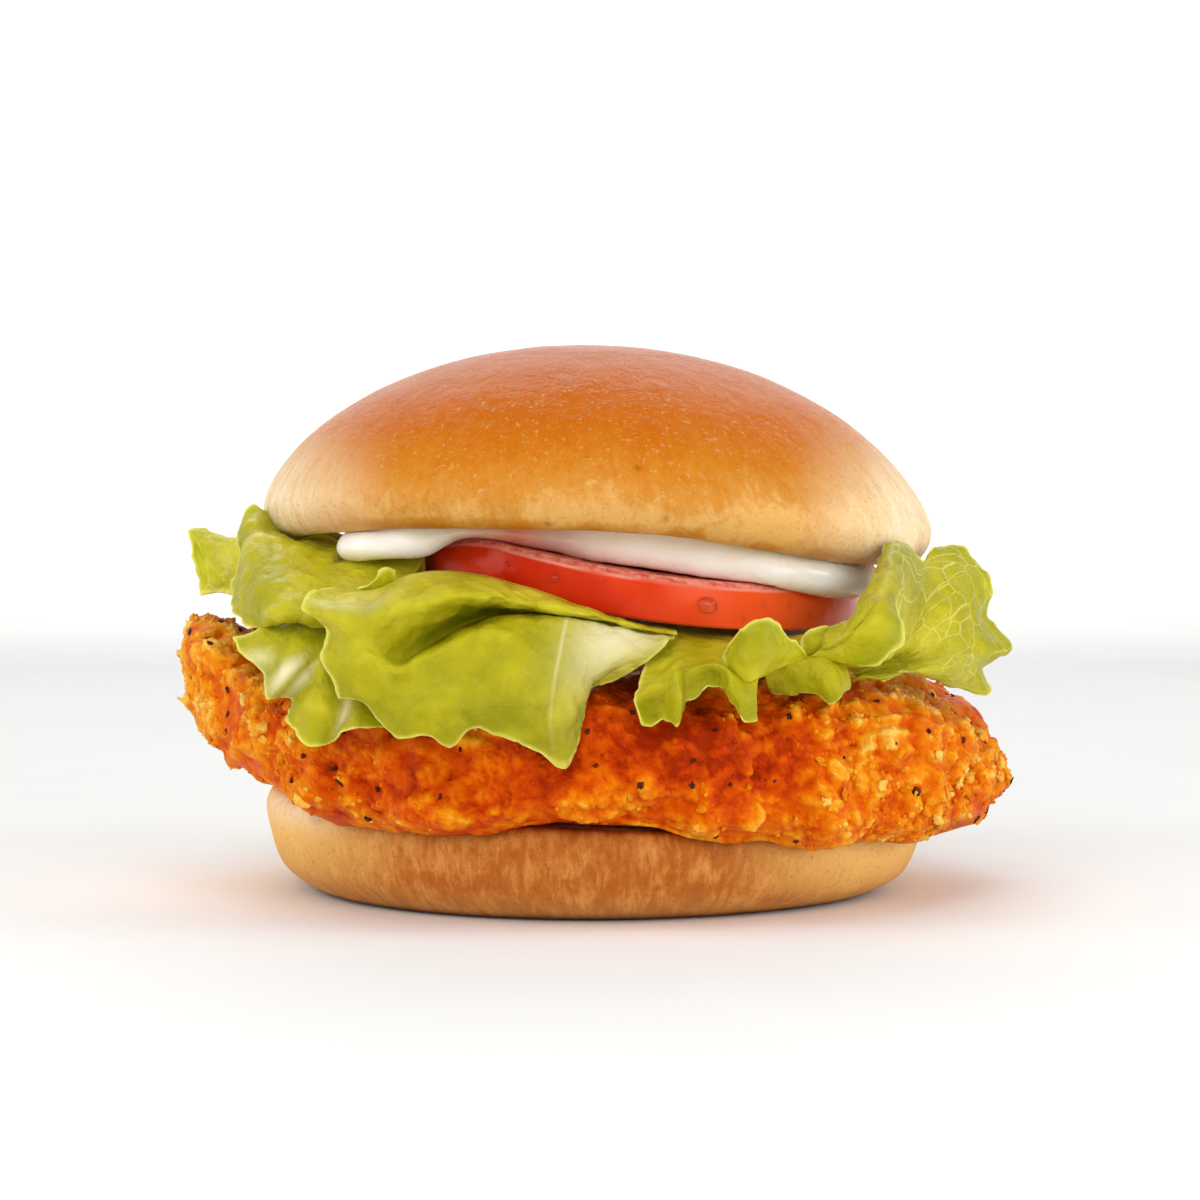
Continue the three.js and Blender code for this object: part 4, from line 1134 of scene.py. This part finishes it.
# The right leaf.
WING = as_shown([
    [[800, 668, -40], [806, 668, -40], [812, 668, -40], [818, 668, -40], [824, 668, -40], [830, 668, -40],
     [834, 669, -39], [838, 670, -38], [842, 671, -37], [846, 672, -36], [850, 673, -36], [853, 674, -36],
     [856, 675, -36], [858, 676, -37], [860, 677, -38], [860, 678, -39], [855, 679, -40], [845, 680, -42]],
    [[810, 661, -48], [824, 656, -50], [838, 652, -52], [850, 651, -53], [862, 652, -53.5], [873, 656, -53],
     [882, 659, -48], [893, 655, -41], [904, 651, -37], [914, 650, -35], [921, 652, -34], [927, 656, -34],
     [932, 660, -35], [932, 664, -37], [928, 668, -38], [915, 670, -40], [890, 673, -43], [862, 679, -46]],
    [[818, 650, -51], [836, 640, -54], [853, 626, -55.5], [869, 614, -55], [885, 609, -53], [897, 622, -50],
     [901, 640, -42], [915, 622, -33], [934, 608, -28], [949, 606, -26], [958, 619, -26], [965, 635, -26],
     [971, 650, -27], [963, 661, -30], [955, 675, -32], [935, 675, -36], [905, 672, -41], [872, 679, -46]],
    [[816, 640, -51], [846, 626, -53], [862, 600, -50], [876, 578, -45], [890, 560, -40], [903, 566, -37],
     [913, 585, -33], [927, 572, -25], [950, 571, -18], [967, 582, -17], [975, 601, -18], [979, 624, -19],
     [994, 648, -21], [976, 664, -25], [972, 683, -27], [946, 681, -33], [912, 671, -40], [878, 680, -45.5]],
    [[812, 630, -50], [848, 623, -50], [864, 595, -45], [880, 565, -38], [893, 541, -31], [911, 546, -28],
     [922, 561, -24], [935, 547, -17], [964, 549, -10], [979, 566, -10], [989, 588, -12], [984, 614, -14],
     [1012, 646, -17], [982, 669, -21], [992, 693, -23], [957, 688, -30], [918, 671, -38], [882, 681, -45]],
])
FLAP = as_shown([
    [[812, 656, -51.5], [828, 642, -52], [846, 624, -53], [862, 601, -50.5], [877, 578, -46],
     [889, 556, -40]],
    [[838, 662, -53.5], [855, 652, -55.5], [868, 635, -57.5], [879, 614, -56], [886, 592, -51],
     [896, 568, -43]],
    [[860, 665, -55], [879, 665, -57], [897, 652, -57], [904, 631, -55], [897, 607, -50.5], [903, 580, -43]],
])
RUFFLES = as_shown([
    [[585, 606, -20], [606, 608, -20], [627, 610, -20], [648, 612, -20], [669, 616, -20], [690, 620, -20],
     [711, 620, -20], [732, 620, -20], [752, 620, -20], [773, 620, -20], [794, 620, -20], [815, 620, -20]],
    [[608, 620, -40], [626, 623, -40], [644, 626, -40], [662, 629, -40], [680, 633, -40], [698, 636, -40],
     [715, 638, -40], [733, 639, -40], [751, 640, -40], [769, 640, -40], [786, 640, -40], [804, 640, -40]],
    [[644, 652, -48], [656, 652, -48], [670, 650, -48], [683, 650, -48], [697, 650, -48], [711, 650, -48],
     [725, 651, -48], [739, 652, -48], [753, 654, -48], [767, 656, -48], [782, 658, -48], [798, 660, -48]],
    [[641, 676, -55], [652, 676, -55], [664, 674, -55], [675, 668, -56], [687, 667, -54], [699, 663, -54],
     [711, 661, -54], [723, 664, -55], [734, 671, -56], [744, 676, -57], [756, 676, -57], [768, 672, -56]],
    [[635, 697, -62], [644, 692, -63], [657, 686, -63], [667, 686, -63], [676, 673, -64.5], [686, 673, -62],
     [699, 667, -61.5], [712, 664, -61.5], [724, 667, -62.5], [734, 676, -64], [745, 684, -64.5],
     [758, 680, -63.5]],
    [[634, 700, -63], [642, 706, -62], [653, 708, -61], [664, 704, -62], [679, 697, -65.5], [685, 690, -62],
     [698, 682, -60.5], [710, 677, -60.5], [722, 680, -62], [733, 692, -65], [745, 704, -65.5],
     [757, 698, -64]],
    [[635, 704, -63], [641, 718, -62.5], [651, 727, -62], [664, 721, -62.5], [678, 726, -65],
     [685, 703, -62], [697, 697, -60.5], [709, 687, -60.5], [722, 691, -62], [733, 705, -64.5],
     [745, 725, -65], [757, 722, -64]],
])
CURL = as_shown([
    [[728, 676, -60], [738, 684, -62.5], [750, 686, -63.5], [760, 676, -62.5], [772, 670, -60],
     [785, 665, -58], [797, 660, -56], [806, 658, -54]],
    [[727, 664, -60], [736, 660, -63], [749, 655, -65], [762, 652, -64.5], [775, 654, -62.5],
     [786, 655, -60], [797, 655, -57.5], [806, 657, -54.5]],
    [[725, 660, -59], [735, 635, -61], [749, 623, -62.5], [766, 618, -62], [777, 623, -61],
     [787, 635, -60.5], [798, 644, -59], [806, 656, -55]],
])
POINT = as_shown([
    [[758, 650, -40], [780, 650, -40], [798, 648, -40], [810, 646, -41], [822, 646, -42], [836, 650, -43]],
    [[764, 668, -50], [786, 665, -51], [804, 662, -52], [818, 660, -53], [830, 661, -53], [845, 666, -50]],
    [[768, 686, -50], [790, 690, -52], [812, 688, -54], [826, 684, -56.5], [836, 682, -56.5],
     [850, 683, -50]],
    [[770, 690, -50], [790, 695, -52], [816, 694, -54], [834, 707, -57], [842, 697, -56.5], [850, 688, -51]],
])
TIP = as_shown([
    [[800, 656, -49], [810, 656, -50], [820, 654, -50], [832, 648, -50]],
    [[801, 648, -51], [811, 645, -52], [822, 642, -52], [833, 640, -51]],
    [[801, 640, -51], [811, 631, -52], [825, 626, -51], [833, 632, -50]],
])


def lettuce():
    material = lettuce_material()
    leaf("leaf_left", "lettuce_left", material, [
        leaf_sheet(BACK, (300, 24), 3, "edge", 0.9, 0.9, hanging=False, young_and_painted_light=0.8),
        leaf_sheet(LOBES, (130, 40), 4, "edge last", 0.8, 0.5, (), 0.5, False, 0.9),
        leaf_sheet(MAIN, (170, 90), 5, "edge", 0.45, 0.8, young_and_painted_light=0.2),
        leaf_sheet(LOWER, (180, 84), 6, "edge first", 0.5, 0.5,
                   [(0.3, 0.72, 0.045, 0.22, 0.9), (0.41, 0.7, 0.03, 0.25, 0.8), (0.8, 0.7, 0.04, 0.25, 0.8),
                    (0.16, 0.9, 0.05, 0.14, 0.5)]),
        leaf_sheet(SPRIG, (36, 20), 7, "edge first last", 0.2, 0.2),
    ])
    leaf("leaf_centre", "lettuce_centre", material, [
        leaf_sheet(CENTRE, (370, 128), 8, "edge first last", 0.5, 0.65,
                   [(0.88, 0.66, 0.11, 0.18, 0.85), (0.735, 0.66, 0.008, 0.2, 0.5),
                    (0.1, 0.2, 0.1, 0.05, 0.3)]),
    ])
    leaf("leaf_right", "lettuce_right", material, [
        leaf_sheet(WING, (300, 80), 9, "edge", 0.5, 0.6, veined=0.65),
        leaf_sheet(FLAP, (70, 40), 14, "edge", 0.4, 0.3),
        leaf_sheet(RUFFLES, (190, 70), 10, "edge first", 0.35, 0.5),
        leaf_sheet(CURL, (90, 44), 11, "edge first last", 0.35, 0.5),
        leaf_sheet(POINT, (90, 40), 12, "edge", 0.35, 0.4),
        leaf_sheet(TIP, (36, 20), 13, "edge first", 0.2, 0.2),
    ])


crown()
heel()
FILLET_FRONT = front_of(coating())
tomato()
water_drops()
mayonnaise()
lettuce()


# The studio.
def floor():
    s = Shader("studio_floor", Specular_IOR_Level=0.2)
    s.colour(s.ramp(s.noise(60, 2, 0.5), (0.3, srgb(0.955, 0.955, 0.95)), (0.7, srgb(0.965, 0.965, 0.96))))
    s.roughness(0.8)
    size = 3.0
    mesh = bpy.data.meshes.new("studio_floor")
    bend = [(y, 0.0) for y in (-size, -1, 0, 1.2)]
    bend += [(1.2 + 0.5 * math.sin(t), 0.5 - 0.5 * math.cos(t)) for t in np.linspace(0.1, math.pi / 2, 12)]
    bend.append((1.7, size))
    points = [(x, y, z - 0.0002) for y, z in bend for x in (-size, size)]
    faces = [(2 * i, 2 * i + 1, 2 * i + 3, 2 * i + 2) for i in range(len(bend) - 1)]
    mesh.from_pydata(points, [], faces)
    mesh.polygons.foreach_set("use_smooth", [True] * len(mesh.polygons))
    mesh.materials.append(s.material)
    piece = bpy.data.objects.new("studio_floor", mesh)
    bpy.context.scene.collection.objects.link(piece)


def lamp(name, place, size, power):
    """A soft rectangular lamp at a place in metres that faces the burger."""
    data = bpy.data.lights.new(name, "AREA")
    data.shape = "RECTANGLE"
    data.size, data.size_y = size
    data.energy = power
    piece = bpy.data.objects.new(name, data)
    bpy.context.scene.collection.objects.link(piece)
    piece.location = place
    piece.rotation_euler = (AIM - Vector(place)).to_track_quat("-Z", "Y").to_euler()
    return piece


floor()
lamp("lamp_above", (-0.1, -0.3, 0.9), (0.8, 0.6), 2.8)
lamp("lamp_front", (-0.35, -0.9, 0.45), (0.6, 0.5), 2.6)
lamp("lamp_left", (-0.75, -0.2, 0.3), (0.3, 0.6), 2.0)
lamp("lamp_right", (0.75, -0.15, 0.3), (0.3, 0.6), 2.1)
lamp("lamp_front_right", (0.5, -0.8, 0.25), (0.5, 0.4), 2.4)
lamp("lamp_back", (0.0, 0.6, 0.55), (0.7, 0.3), 0.9)
backdrop_lamp = lamp("lamp_backdrop", (0.0, 0.75, 0.9), (1.6, 0.5), 14)
backdrop_lamp.rotation_euler = (math.radians(75), 0, 0)
world = bpy.data.worlds.new("studio")
bpy.context.scene.world = world
world.use_nodes = True
world.node_tree.nodes["Background"].inputs["Color"].default_value = (1, 1, 1, 1)
world.node_tree.nodes["Background"].inputs["Strength"].default_value = 0.35
